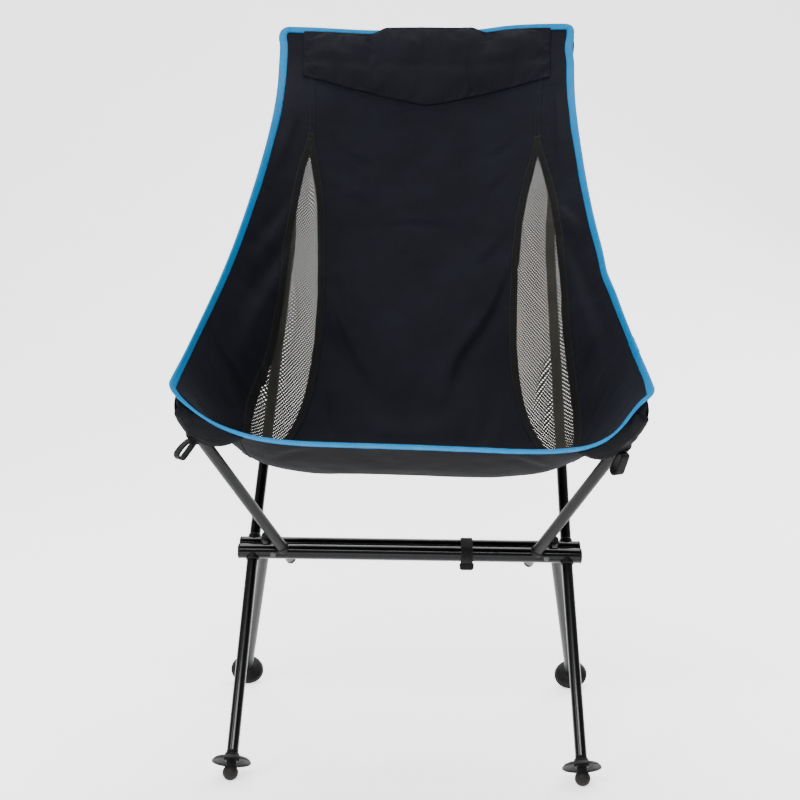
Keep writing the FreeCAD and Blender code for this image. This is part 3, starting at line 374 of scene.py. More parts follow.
def stitches(lines, length=2.9, gap=0.9, thick=0.36):
    """Thread stitches laid along lines of points with normals; returns vertices and faces."""
    template = []
    for place, size in STITCH_RINGS:
        for k in range(6):
            turn = math.pi * k / 3
            template.append((place * length / 2, size * thick * math.cos(turn),
                             size * thick * math.sin(turn)))
    template = np.array(template) / 1000.0
    faces = [[r * 6 + k, r * 6 + (k + 1) % 6, r * 6 + 6 + (k + 1) % 6, r * 6 + 6 + k]
             for r in range(3) for k in range(6)]
    faces += [[5, 4, 3, 2, 1, 0], [18, 19, 20, 21, 22, 23]]
    verts, all_faces = [], []
    for points, normals in lines:
        path = reach_along(points)
        pitch = (length + gap) / 1000.0
        number = max(1, int(path[-1] / pitch))
        for i in range(number):
            place = (i + 0.5) * path[-1] / number
            centre = np.array([np.interp(place, path, points[:, k]) for k in range(3)])
            ahead = np.array([np.interp(place + pitch * 0.3, path, points[:, k]) for k in range(3)])
            behind = np.array([np.interp(place - pitch * 0.3, path, points[:, k]) for k in range(3)])
            normal = np.array([np.interp(place, path, normals[:, k]) for k in range(3)])
            t = unit(ahead - behind)
            side = unit(np.cross(normal, t))
            normal = np.cross(t, side)
            start = len(verts) * 24
            verts.append(centre + template @ np.stack([t, side, normal]))
            all_faces.extend([[start + k for k in face] for face in faces])
    return np.concatenate(verts), all_faces


def stitch_object(name, lines, material, **sizes):
    verts, faces = stitches(lines, **sizes)
    return mesh_object(name, verts, faces, [material])


def sling_line(across, down, offset):
    """Line of points and normals on the sling, for stitches; offset in mm."""
    across, down = np.broadcast_arrays(np.asarray(across, float), np.asarray(down, float))
    sign = 1.0 if offset >= 0 else -1.0
    return sling(across, down, offset / 1000.0), sling_normal(across, down) * sign


# ----------------------------------------------------------------- materials
class Shade:
    """Node material with one shader; helpers add noise, bands and bump."""

    def __init__(self, name, **settings):
        self.material = bpy.data.materials.new(name)
        self.material.use_nodes = True
        self.tree = self.material.node_tree
        self.tree.nodes.clear()
        self.output = self.tree.nodes.new("ShaderNodeOutputMaterial")
        self.shader = self.tree.nodes.new("ShaderNodeBsdfPrincipled")
        self.tree.links.new(self.shader.outputs[0], self.output.inputs["Surface"])
        for key, value in settings.items():
            self.shader.inputs[key.replace("_", " ")].default_value = value
        self.coords = self.tree.nodes.new("ShaderNodeTexCoord")

    def plus(self, a, b):
        return self.math("ADD", a, b)

    def times(self, a, b):
        return self.math("MULTIPLY", a, b)

    def clamp(self, a):
        return self.math("MINIMUM", self.math("MAXIMUM", a, 0.0), 1.0)

    def node(self, kind, settings=None, **inputs):
        made = self.tree.nodes.new(kind)
        for key, value in (settings or {}).items():
            setattr(made, key, value)
        for key, value in inputs.items():
            socket = made.inputs[int(key[1:])] if key[0] == "i" and key[1:].isdigit() \
                else made.inputs[key.replace("_", " ")]
            if isinstance(value, bpy.types.NodeSocket):
                self.tree.links.new(value, socket)
            else:
                socket.default_value = value
        return made

    def place(self, source="Object", scale=(1, 1, 1), turn=(0, 0, 0), shift=(0, 0, 0)):
        made = self.node("ShaderNodeMapping", Vector=self.coords.outputs[source])
        made.inputs["Scale"].default_value = scale
        made.inputs["Rotation"].default_value = turn
        made.inputs["Location"].default_value = shift
        return made.outputs[0]

    def place_along(self, point, direction):
        """Texture space with its origin at a point and its Z axis along a direction."""
        turn = Vector(direction).normalized().rotation_difference(Vector((0, 0, 1))).to_euler("XYZ")
        return self.place("Object", turn=turn, shift=-(turn.to_matrix() @ Vector(point)))

    def noise(self, vector, scale, detail=2.0, rough=0.5):
        return self.node("ShaderNodeTexNoise", Vector=vector, Scale=scale, Detail=detail,
                         Roughness=rough).outputs["Fac"]

    def bands(self, vector, scale, direction="X", distortion=0.0):
        return self.node("ShaderNodeTexWave",
                         {"wave_type": "BANDS", "bands_direction": direction},
                         Vector=vector, Scale=scale, Distortion=distortion).outputs["Fac"]

    def rings(self, vector, scale):
        return self.node("ShaderNodeTexWave", {"wave_type": "RINGS", "rings_direction": "Z"},
                         Vector=vector, Scale=scale).outputs["Fac"]

    def math(self, operation, a, b=0.0, c=0.0):
        return self.node("ShaderNodeMath", {"operation": operation}, i0=a, i1=b, i2=c).outputs[0]

    def ramp(self, value, low, high, start=0.0, end=1.0):
        return self.node("ShaderNodeMapRange", Value=value, From_Min=low, From_Max=high,
                         To_Min=start, To_Max=end).outputs[0]

    def blend(self, share, a, b):
        made = self.tree.nodes.new("ShaderNodeMix")
        made.data_type = "RGBA"
        for socket, value in ((made.inputs[0], share), (made.inputs[6], a), (made.inputs[7], b)):
            if isinstance(value, bpy.types.NodeSocket):
                self.tree.links.new(value, socket)
            elif socket.type == "RGBA":
                socket.default_value = (*value, 1.0)
            else:
                socket.default_value = value
        return made.outputs[2]

    def set(self, name, value):
        socket = self.shader.inputs[name]
        if isinstance(value, bpy.types.NodeSocket):
            self.tree.links.new(value, socket)
        else:
            socket.default_value = value

    def bump(self, height, distance, strength=1.0, under=None):
        made = self.node("ShaderNodeBump", Height=height, Distance=distance, Strength=strength)
        if under is not None:
            self.tree.links.new(under, made.inputs["Normal"])
        self.tree.links.new(made.outputs[0], self.shader.inputs["Normal"])
        return made.outputs[0]


def woven(name, dark, light, pitch=0.55, rough=0.78, soft=0.9, weave=0.06):
    """Plain weave cloth: threads both ways, slubs, cloudy tone and small puckers."""
    s = Shade(name, Roughness=rough, Sheen_Weight=0.02, Sheen_Roughness=0.45,
              Sheen_Tint=(0.75, 0.80, 1.0, 1.0), Specular_IOR_Level=0.04)
    uv = s.place("UV")
    count = 1000.0 / pitch / 20.0 * math.pi
    warp = s.bands(uv, count, "X")
    weft = s.bands(uv, count, "Y")
    cloth = s.math("MAXIMUM", warp, weft)
    slub = s.noise(s.place("UV", (260, 2600, 1)), 1.0, 3.0, 0.6)
    slub_other = s.noise(s.place("UV", (2400, 240, 1)), 1.0, 3.0, 0.6)
    cloud = s.noise(uv, 14.0, 4.0, 0.55)
    pucker = s.noise(s.place("UV", (1, 1.6, 1)), 55.0, 3.0, 0.5)
    lint = s.ramp(s.noise(uv, 900.0, 2.0, 0.7), 0.70, 0.80)
    tone = s.plus(s.times(cloud, 0.55), s.times(s.plus(slub, slub_other), 0.28))
    tone = s.plus(tone, s.times(cloth, 0.12))
    colour = s.blend(s.ramp(tone, 0.38, 0.82), dark, light)
    colour = s.blend(s.times(lint, 0.25), colour, tuple(min(1, 2.2 * c) for c in light))
    s.set("Base Color", colour)
    s.set("Roughness", s.ramp(s.plus(slub, s.times(cloud, 0.6)), 0.5, 1.1,
                              rough - 0.10, rough + 0.08))
    first = s.bump(pucker, 0.0011 * soft, 0.55)
    s.bump(s.plus(cloth, s.times(slub, 0.6)), 0.001 * weave, 0.9, first)
    return s.material


def ribbed(name, dark, light, rib, rough):
    """Woven tape with ribs across its length and a finer rib along it."""
    s = Shade(name, Roughness=rough, Sheen_Weight=0.02, Sheen_Roughness=0.4,
              Specular_IOR_Level=0.06)
    uv = s.place("UV")
    ribs = s.bands(uv, 1000.0 / rib / 20.0 * math.pi, "Y")
    yarns = s.bands(uv, 1000.0 / (rib * 0.62) / 20.0 * math.pi, "X")
    fuzz = s.noise(uv, 1500.0, 3.0, 0.6)
    cloud = s.noise(uv, 30.0, 3.0, 0.6)
    tone = s.plus(s.times(ribs, 0.35), s.times(yarns, 0.2))
    tone = s.plus(tone, s.plus(s.times(cloud, 0.35), s.times(fuzz, 0.3)))
    s.set("Base Color", s.blend(s.ramp(tone, 0.25, 0.95), dark, light))
    s.set("Roughness", s.ramp(fuzz, 0.3, 0.7, rough - 0.08, rough + 0.12))
    first = s.bump(cloud, 0.0006, 0.4)
    s.bump(s.plus(ribs, s.times(yarns, 0.5)), 0.00022, 0.9, first)
    return s.material


def thread(name, dark, light):
    """Twisted sewing thread."""
    s = Shade(name, Roughness=0.6, Specular_IOR_Level=0.1)
    vector = s.place("Object", turn=(0.5, 0.6, 0.3))
    twist = s.bands(vector, 900.0, "DIAGONAL", 1.0)
    fuzz = s.noise(vector, 2500.0, 2.0)
    s.set("Base Color", s.blend(s.plus(s.times(twist, 0.6), s.times(fuzz, 0.4)), dark, light))
    s.set("Roughness", s.ramp(fuzz, 0.3, 0.7, 0.45, 0.7))
    s.bump(twist, 0.0001, 0.6)
    return s.material


def hook_and_loop(name):
    s = Shade(name, Roughness=0.9, Sheen_Weight=0.04, Sheen_Roughness=0.6, Specular_IOR_Level=0.05)
    uv = s.place("UV")
    cells = s.node("ShaderNodeTexVoronoi", Vector=uv, Scale=900.0).outputs["Distance"]
    fuzz = s.noise(uv, 2200.0, 4.0, 0.7)
    cloud = s.noise(uv, 60.0, 3.0)
    tone = s.plus(s.times(cells, 0.6), s.times(fuzz, 0.5))
    s.set("Base Color", s.blend(s.ramp(tone, 0.2, 0.8), (0.0015, 0.0015, 0.0015), (0.009, 0.009, 0.009)))
    s.set("Roughness", s.ramp(cloud, 0.3, 0.7, 0.82, 0.95))
    s.bump(tone, 0.0006, 0.9)
    return s.material


def anodised(name, point, direction, length, dark, light, rough=0.26, metallic=0.75, coat=0.25):
    """Drawn and anodised tube: lines along it, cloudy dye, scuffs that gather near both ends."""
    s = Shade(name, Roughness=rough, Metallic=metallic, Coat_Weight=coat, Coat_Roughness=0.12,
              Specular_IOR_Level=0.2)
    local = s.place_along(point, direction)
    lines = s.noise(s.node("ShaderNodeVectorMath", {"operation": "MULTIPLY"}, i0=local,
                           i1=(1300.0, 1300.0, 9.0)).outputs[0], 1.0, 3.0, 0.6)
    cloud = s.noise(local, 18.0, 4.0, 0.55)
    height = s.node("ShaderNodeSeparateXYZ", Vector=local).outputs[2]
    share = s.math("DIVIDE", height, length)
    ends = s.times(s.math("POWER", s.math("ABSOLUTE", s.math(
        "SUBTRACT", s.times(share, 2.0), 1.0)), 8.0), 0.16)
    scuff = s.node("ShaderNodeVectorMath", {"operation": "MULTIPLY"}, i0=local,
                   i1=(260.0, 260.0, 90.0)).outputs[0]
    scratch = s.noise(scuff, 1.0, 5.0, 0.75)
    wear = s.clamp(s.ramp(s.plus(scratch, ends), 0.72, 0.80))
    colour = s.blend(cloud, dark, light)
    colour = s.blend(s.times(wear, 0.35), colour, (0.06, 0.06, 0.062))
    s.set("Base Color", colour)
    shine = s.ramp(s.plus(s.times(lines, 0.5), s.times(cloud, 0.5)),
                   0.3, 0.7, rough - 0.05, rough + 0.09)
    s.set("Roughness", s.plus(shine, s.times(wear, 0.18)))
    s.bump(s.math("SUBTRACT", lines, s.times(wear, 0.8)), 0.00004, 0.5)
    return s.material


def moulded(name, dark, light, rough=0.55, dust=0.0):
    """Moulded plastic or rubber: fine grain, cloudy gloss, paler rubbed spots, dust near the floor."""
    s = Shade(name, Roughness=rough, Specular_IOR_Level=0.12)
    at = s.place("Object")
    skin = s.noise(at, 1400.0, 3.0, 0.6)
    cloud = s.noise(at, 60.0, 4.0, 0.6)
    rub = s.clamp(s.ramp(s.noise(at, 210.0, 4.0, 0.7), 0.62, 0.74))
    colour = s.blend(cloud, dark, light)
    colour = s.blend(s.times(rub, 0.3), colour, tuple(min(1, 2.4 * c) for c in light))
    if dust:
        height = s.node("ShaderNodeSeparateXYZ", Vector=at).outputs[2]
        low = s.ramp(height, 0.0, 0.03, dust, 0.0)
        low = s.times(s.math("MAXIMUM", low, 0.0), s.noise(at, 320.0, 4.0, 0.7))
        colour = s.blend(low, colour, (0.13, 0.12, 0.105))
    s.set("Base Color", colour)
    s.set("Roughness", s.ramp(s.plus(cloud, s.times(rub, 0.3)), 0.3, 0.9,
                              rough - 0.1, rough + 0.16))
    s.bump(skin, 0.00008, 0.6)
    return s.material


def ringed_disc(name, point, direction):
    """Disc with moulded rings about its own axis."""
    s = Shade(name, Roughness=0.5, Specular_IOR_Level=0.15)
    local = s.place_along(point, direction)
    rings = s.rings(local, 26.0)
    skin = s.noise(local, 1300.0, 3.0, 0.6)
    cloud = s.noise(local, 70.0, 4.0, 0.6)
    scuff = s.noise(local, 330.0, 5.0, 0.75)
    worn = s.clamp(s.ramp(scuff, 0.62, 0.74))
    colour = s.blend(cloud, (0.0022, 0.0022, 0.0026), (0.0065, 0.0065, 0.007))
    s.set("Base Color", s.blend(s.times(worn, 0.3), colour, (0.022, 0.0215, 0.020)))
    s.set("Roughness", s.ramp(cloud, 0.3, 0.7, 0.38, 0.58))
    first = s.bump(skin, 0.00007, 0.5)
    s.bump(rings, 0.0005, 0.7, first)
    return s.material


def brushed(name, tone):
    s = Shade(name, Roughness=0.4, Metallic=0.9)
    at = s.place("Object", scale=(300.0, 2400.0, 2400.0))
    lines = s.noise(at, 1.0, 4.0, 0.6)
    cloud = s.noise(s.place("Object"), 140.0, 3.0)
    s.set("Base Color", s.blend(s.plus(s.times(lines, 0.5), s.times(cloud, 0.5)),
                                tuple(0.6 * c for c in tone), tuple(min(1, 1.4 * c) for c in tone)))
    s.set("Roughness", s.ramp(lines, 0.3, 0.7, 0.3, 0.5))
    s.bump(lines, 0.00004, 0.5)
    return s.material


def braided(name):
    """Shock cord sheath: crossing strands with a pale tracer."""
    s = Shade(name, Roughness=0.7, Sheen_Weight=0.2)
    one = s.bands(s.place("Object", turn=(0.7, 0.0, 0.4)), 240.0, "Z")
    two = s.bands(s.place("Object", turn=(-0.7, 0.0, -0.4)), 240.0, "Z")
    braid = s.math("MAXIMUM", one, two)
    fuzz = s.noise(s.place("Object"), 1800.0, 3.0)
    s.set("Base Color", s.blend(s.times(braid, fuzz), (0.008, 0.008, 0.009), (0.06, 0.06, 0.062)))
    s.set("Roughness", s.ramp(fuzz, 0.3, 0.7, 0.6, 0.85))
    s.bump(braid, 0.0003, 0.8)
    return s.material


NAVY = woven("fabric_navy_face", (0.0024, 0.0027, 0.0042), (0.0072, 0.0078, 0.0114))
NAVY_BACK = woven("fabric_navy_back", (0.0022, 0.0021, 0.0023), (0.0055, 0.0053, 0.0057), rough=0.8)
HEADREST = woven("fabric_headrest", (0.0024, 0.0027, 0.0040), (0.0074, 0.0080, 0.0112), soft=1.1)
GRAY = woven("fabric_pocket_gray", (0.0028, 0.0028, 0.0034), (0.0078, 0.0079, 0.0092), pitch=0.8, rough=0.66,
             weave=0.1)
NET = woven("mesh_yarn", (0.010, 0.0097, 0.0080), (0.028, 0.0272, 0.0226), pitch=0.4, rough=0.7)
BINDING = ribbed("binding_tape_blue", (0.0, 0.082, 0.215), (0.0, 0.172, 0.385), rib=0.9, rough=0.5)
TAPE = ribbed("seam_tape_black", (0.0020, 0.0020, 0.0022), (0.0075, 0.0075, 0.0080), rib=0.8, rough=0.7)
WEBBING = ribbed("webbing_black", (0.0012, 0.0012, 0.0013), (0.0065, 0.0065, 0.0068), rib=1.5, rough=0.6)
THREAD_BLUE = thread("thread_blue", (0.0, 0.07, 0.24), (0.0, 0.16, 0.42))
THREAD_BLACK = thread("thread_black", (0.005, 0.005, 0.0055), (0.022, 0.022, 0.023))
FUZZY = hook_and_loop("hook_and_loop_black")


# ------------------------------------------------------------ centre and wings
# How far in from the sling's edge the cloth ends, hidden by the binding, in mm.
TUCK = 9.6


def mix(a, b, share):
    return a + (b - a) * share


def rows_between(across, share, start_mm, end_mm):
    """Down values from one end of the sling to the other, kept clear of both ends."""
    first = inset(across, np.zeros_like(across), mm_down=start_mm)[1]
    last = 1.0 - inset(across, np.ones_like(across), mm_down=end_mm)[1]
    return mix(first, last, share)


def nudge(down, length_mm):
    return length_mm / SHAPE[0](down)


# Half the thickness of the sling's cloth, in metres.
CLOTH = 0.0006


def centre_where(a, b):
    down = b.copy()
    for _ in range(3):
        half = MESH_MIDDLE(down) - mesh_half(down) - nudge(down, 0.15)
        across = mix(-half, half, a)
        down = rows_between(across, b, TUCK, TUCK)
    return across, down


def wing_where(side):
    def where(a, b):
        down = b.copy()
        for _ in range(3):
            inner = mesh_outer(side, down) + nudge(down, 0.15)
            outer = 1.0 - inset(np.ones_like(down), down, mm_across=TUCK)[0]
            across = mix(inner, outer, a)
            down = rows_between(across, b, TUCK, TUCK)
        return side * across, down
    return where


centre = patch("centre_panel", centre_where, 84, 240, -CLOTH, CLOTH, [NAVY, NAVY_BACK], 1)
finish_piece(centre, "fabric_navy", "centre_panel")
for label, side in SIDES:
    wing = patch("wing_panel_" + label, wing_where(side), 30, 240, -CLOTH, CLOTH, [NAVY, NAVY_BACK], 1)
    finish_piece(wing, "fabric_navy", "wing_panel_" + label)


# ------------------------------------------------------------------ mesh panels
def net(name, side, pitch=3.3, hole=0.33, thick=0.00045):
    """Knitted net of hexagonal eyes over one mesh panel."""
    row_height = pitch * math.sqrt(3) / 2
    first, last = np.interp([MESH_TOP + 0.006, MESH_FOOT - 0.018], _reach, _length)
    centres = []
    for row in range(int((last - first) / row_height)):
        y = first + row * row_height
        down = np.interp(y, _length, _reach)
        out = float(SHAPE[0](down))
        inner = float(MESH_MIDDLE(down) - mesh_half(down)) * out - 1.3
        outer = float(mesh_outer(side, down)) * out + 1.3
        shift = 0.5 * pitch * (row % 2)
        low = math.ceil((inner - shift) / pitch)
        high = math.floor((outer - shift) / pitch)
        centres += [(k * pitch + shift, y) for k in range(low, high + 1)]
    centres = np.array(centres)
    turns = np.radians(30 + 60 * np.arange(6))
    ring = np.stack([np.cos(turns), np.sin(turns)], -1)
    corners = centres[:, None, :] + ring * pitch / math.sqrt(3)
    eyes = centres[:, None, :] + ring * hole * pitch / math.sqrt(3)
    keys = np.round(corners.reshape(-1, 2), 2)
    shared, inverse = np.unique(keys, axis=0, return_inverse=True)
    inverse = np.asarray(inverse).reshape(-1, 6)
    flat = np.concatenate([shared, eyes.reshape(-1, 2)])
    down = np.interp(flat[:, 1], _length, _reach)
    across = side * flat[:, 0] / SHAPE[0](down)
    base, normal, rise = plain_sling(across, down), sling_normal(across, down), folds(across, down)
    top = base + normal * (rise + thick / 2)[:, None]
    low = base + normal * (rise - thick / 2)[:, None]
    count = len(flat)
    inner = len(shared) + np.arange(len(centres) * 6).reshape(-1, 6)
    after = np.roll(inverse, -1, axis=1)
    inner_after = np.roll(inner, -1, axis=1)
    front = np.stack([inverse, after, inner_after, inner], -1).reshape(-1, 4)
    face = front[0]
    turned = np.dot(np.cross(top[face[1]] - top[face[0]], top[face[2]] - top[face[0]]), normal[face[0]])
    wall = np.stack([inner, inner_after, inner_after + count, inner + count], -1).reshape(-1, 4)
    back = front[:, ::-1] + count
    faces = np.concatenate([front, back, wall])
    if turned < 0:
        faces = faces[:, ::-1]
    verts = np.concatenate([top, low])
    uv = np.concatenate([flat, flat]) / 1000.0
    return mesh_object(name, verts, faces.tolist(), [NET], uv, smooth=False)


for label, side in SIDES:
    panel = net("mesh_panel_" + label, side)
    finish_piece(panel, "mesh_black", "mesh_panel_" + label)


# ------------------------------------------------------- tapes, seams, stitching
def strip_where(side, middle, half_mm, first, last):
    def where(a, b):
        down = mix(first, last, b)
        return side * (middle(down) + mix(-1, 1, a) * nudge(down, half_mm)), down
    return where


def rounded(base, height):
    """Tape offset that thins towards both edges."""
    def offset(a, b):
        return (base + height * (1 - 0.75 * np.abs(2 * a - 1) ** 6)) / 1000.0
    return offset


def seam_line(side, outer):
    if outer:
        return lambda down: mesh_outer(side, down)
    return lambda down: MESH_MIDDLE(down) - mesh_half(down)


def join(name, parts):
    """One object from several closed pieces."""
    for part in parts:
        part.select_set(True)
    bpy.context.view_layer.objects.active = parts[0]
    with bpy.context.temp_override(active_object=parts[0], selected_editable_objects=parts,
                                   selected_objects=parts):
        bpy.ops.object.join()
    parts[0].name = name
    parts[0].data.name = name
    parts[0].select_set(False)
    return parts[0]


seam_threads = []


def two_strips(side, middle, first, last, rows, gap, over, under):
    """Strips over and under the sling; each is (half width, base, height, material), in mm."""
    half, base, height, material = over
    above = patch("strip", strip_where(side, middle, half, first, last), 8, rows,
                  gap, rounded(base, height), [material])
    half, base, height, material = under
    offset = rounded(base, height)
    below = patch("strip", strip_where(side, middle, half, first, last), 8, rows,
                  lambda a, b: -offset(a, b), -gap, [material])
    return [above, below]


def two_rows(side, middle, down, edge, over, under):
    """Rows of stitches at both edges of a strip, on its upper and its lower face, in mm."""
    for way in (-edge, edge):
        across = side * (middle(down) + nudge(down, way))
        seam_threads.append(sling_line(across, down, over))
        seam_threads.append(sling_line(across, down, -under))


for label, side in SIDES:
    parts = []
    for outer, first, last in ((False, 0.288, 0.875), (True, 0.300, 0.855)):
        middle = seam_line(side, outer)
        parts += two_strips(side, middle, first, last, 150, 0.0007, (5.0, 0.8, 0.85, TAPE),
                            (5.0, 0.8, 0.6, TAPE))
        two_rows(side, middle, np.linspace(first + 0.004, last - 0.004, 200), 3.9, 1.62, 1.42)
    finish_piece(join("seam_tapes_" + label, parts), "tape_black", "seam_tapes_" + label)

    seams = []
    for first, last in ((0.006, 0.318), (0.868, 0.992)):
        seams += two_strips(side, MESH_MIDDLE, first, last, 90, 0.0004, (4.2, 0.55, 0.75, NAVY),
                            (5.0, 0.5, 0.8, NAVY_BACK))
        two_rows(side, MESH_MIDDLE, np.linspace(first + 0.012, last - 0.010, 120), 3.0, 1.36, 1.36)
    finish_piece(join("felled_seams_" + label, seams), "fabric_navy")


# ------------------------------------------------------------------ edge binding
def sweep(name, points, sideways, upward, profile, materials, closed=False):
    """Solid strip: a closed profile of (sideways, upward) offsets in mm carried along a path.

    Each of the two directions is one vector, or one for each point.
    """
    points = np.asarray(points, float)
    sideways, upward = (np.broadcast_to(way, points.shape) for way in (sideways, upward))
    profile = np.asarray(profile, float) / 1000.0
    if profile.ndim == 2:
        profile = np.repeat(profile[None], len(points), 0)
    rings = (points[:, None, :] + sideways[:, None, :] * profile[..., :1]
             + upward[:, None, :] * profile[..., 1:])
    count, size = rings.shape[:2]
    index = np.arange(count * size).reshape(count, size)
    ahead = np.roll(index, -1, 0) if closed else index[1:]
    here = index if closed else index[:-1]
    faces = np.stack([here, np.roll(here, -1, 1), np.roll(ahead, -1, 1), ahead], -1).reshape(-1, 4)
    faces = faces.tolist()
    if not closed:
        faces += [index[0, ::-1].tolist(), index[-1].tolist()]
    path = reach_along(points)
    round_it = reach_along(profile[0])
    u, v = np.meshgrid(round_it, path)
    uv = np.stack([u, v], -1).reshape(-1, 2)
    obj = mesh_object(name, rings.reshape(-1, 3), faces, materials, uv)
    fix_normals(obj)
    return obj


def fix_normals(obj):
    """Turns a closed mesh's faces outward."""
    mesh = obj.data
    volume = 0.0
    for face in mesh.polygons:
        corners = [mesh.vertices[i].co for i in face.vertices]
        for i in range(1, len(corners) - 1):
            volume += corners[0].dot(corners[i].cross(corners[i + 1]))
    if volume < 0:
        mesh.flip_normals()


def rim_path():
    """The sling's outer edge as a closed line: points, inward and normal directions."""
    edges = []
    for start, end, count in (((-1, 0), (1, 0), 140), ((1, 0), (1, 1), 280), ((1, 1), (-1, 1), 170),
                              ((-1, 1), (-1, 0), 280)):
        t = np.linspace(0, 1, count)
        edges.append((start[0] + (end[0] - start[0]) * t, start[1] + (end[1] - start[1]) * t))
    points, normals = [], []
    size = 0.015
    lines = [(sling(a, d), sling_normal(np.clip(a, -0.995, 0.995), d)) for a, d in edges]
    for (line, normal), (after, after_normal) in zip(lines, lines[1:] + lines[:1]):
        keep = (np.linalg.norm(line - line[0], axis=1) > size) & \
               (np.linalg.norm(line - line[-1], axis=1) > size)
        points.append(line[keep])
        normals.append(normal[keep])
        ahead = np.linalg.norm(after - after[0], axis=1) > size
        p, q, r = line[keep][-1], line[-1], after[ahead][0]
        for t in np.linspace(0.1, 0.9, 9):
            points.append((((1 - t) ** 2) * p + 2 * t * (1 - t) * q + t * t * r)[None])
            normals.append(unit((1 - t) * normal[keep][-1] + t * after_normal[ahead][0])[None])
    points, normals = np.concatenate(points), np.concatenate(normals)
    tangent = unit(np.roll(points, -1, 0) - np.roll(points, 1, 0))
    inward = unit(np.cross(normals, tangent))
    middle = points.mean(0)
    if np.einsum("ij,ij->i", inward, middle - points).mean() < 0:
        inward = -inward
    return points, inward, unit(np.cross(tangent, inward)) * np.sign(
        np.einsum("ij,ij->i", np.cross(tangent, inward), normals))[:, None]


def folded_tape(width, thick):
    """Cross-section of a tape folded over an edge: flat legs, fuller at the fold."""
    half = [(1.0, 0.52), (0.96, 0.76), (0.82, 0.88), (0.56, 0.96), (0.30, 1.0), (0.12, 0.86),
            (0.03, 0.50)]
    top = [(a * width, b * thick) for a, b in half]
    return top + [(0.0, 0.0)] + [(a, -b) for a, b in reversed(top)]


rim, rim_in, rim_up = rim_path()
rim_length = reach_along(rim) * 1000
wave = lattice_noise(rim_length, 0.0, 34.0, 21)
ripple = lattice_noise(rim_length, 0.0, 9.0, 22)
shapes = np.array([folded_tape(11.5 + 0.45 * w, 1.55 + 0.12 * r) for w, r in zip(wave, ripple)])
binding = sweep("edge_binding", rim, rim_in, rim_up, shapes, [BINDING], closed=True)
finish_piece(binding, "binding_blue", "edge_binding")

lap = (rim[:, 0] > 0.2) & (np.abs(rim[:, 2] - 0.533) < 0.0085)
lap_joint = sweep("binding_lap_joint", rim[lap], rim_in[lap], rim_up[lap],
                  np.array(folded_tape(12.8, 2.2)) - (0.7, 0.0), [BINDING])
finish_piece(lap_joint, "binding_blue")

loop_again = np.append(np.arange(len(rim)), 0)
edge_rows = [(rim[loop_again] + rim_in[loop_again] * 0.0097 + rim_up[loop_again] * sign * 0.00146,
              rim_up[loop_again] * sign) for sign in (1, -1)]
edge_stitching = stitch_object("binding_stitching", edge_rows, THREAD_BLUE, length=2.8, gap=1.0, thick=0.3)
finish_piece(edge_stitching, "binding_blue")


# --------------------------------------------------------------------- headrest
# Height of the headrest's lower face above the middle of the sling's cloth, in metres.
HEAD_LOW = 0.0019


def headrest_where(a, b):
    across = mix(-0.84, 0.84, a)
    over = np.clip((0.40 - np.abs(across - 0.01)) / 0.12, 0, 1)
    top = 0.0135 - 0.0180 * over * over * (3 - 2 * over)
    foot = 0.206 - 0.075 * np.sqrt(across * across + 0.003)
    return across, mix(top, foot, b)


def head_puff(a, b):
    """Height of the stuffed headrest above its lower face, in metres."""
    rim_shape = (1.0 - np.abs(2 * a - 1) ** 8) ** 0.7 * np.sin(np.pi * np.clip(b * 0.94 + 0.05, 0, 1)) ** 0.6
    return 0.0008 + 0.0046 * rim_shape * mix(1.0, 0.7, b)


def inflate(obj, pinned, cap, frames=20, pressure=4.0, spare=-0.03):
    """Blows a closed piece up with the cloth solver, then limits how far any point moved."""
    rest = np.array([v.co for v in obj.data.vertices])
    group = obj.vertex_groups.new(name="held")
    group.add([int(i) for i in np.flatnonzero(pinned)], 1.0, "REPLACE")
    cloth = obj.modifiers.new("Cloth", "CLOTH")
    for key, value in {"quality": 6, "mass": 0.15, "tension_stiffness": 12, "compression_stiffness": 6,
                       "shear_stiffness": 4, "bending_stiffness": 0.15, "use_pressure": True,
                       "uniform_pressure_force": pressure, "shrink_min": spare,
                       "vertex_group_mass": "held"}.items():
        setattr(cloth.settings, key, value)
    cloth.settings.effector_weights.gravity = 0.0
    cloth.collision_settings.use_collision = False
    cloth.collision_settings.use_self_collision = False
    cloth.point_cache.frame_start = 1
    cloth.point_cache.frame_end = frames
    scene = bpy.context.scene
    for number in range(1, frames + 1):
        scene.frame_set(number)
    graph = bpy.context.evaluated_depsgraph_get()
    moved = np.array([v.co for v in obj.evaluated_get(graph).data.vertices])
    obj.modifiers.remove(cloth)
    obj.vertex_groups.remove(group)
    scene.frame_set(1)
    step = moved - rest
    size = np.linalg.norm(step, axis=1, keepdims=True)
    step *= cap * np.tanh(size / cap) / np.maximum(size, 1e-9)
    return rest, rest + step


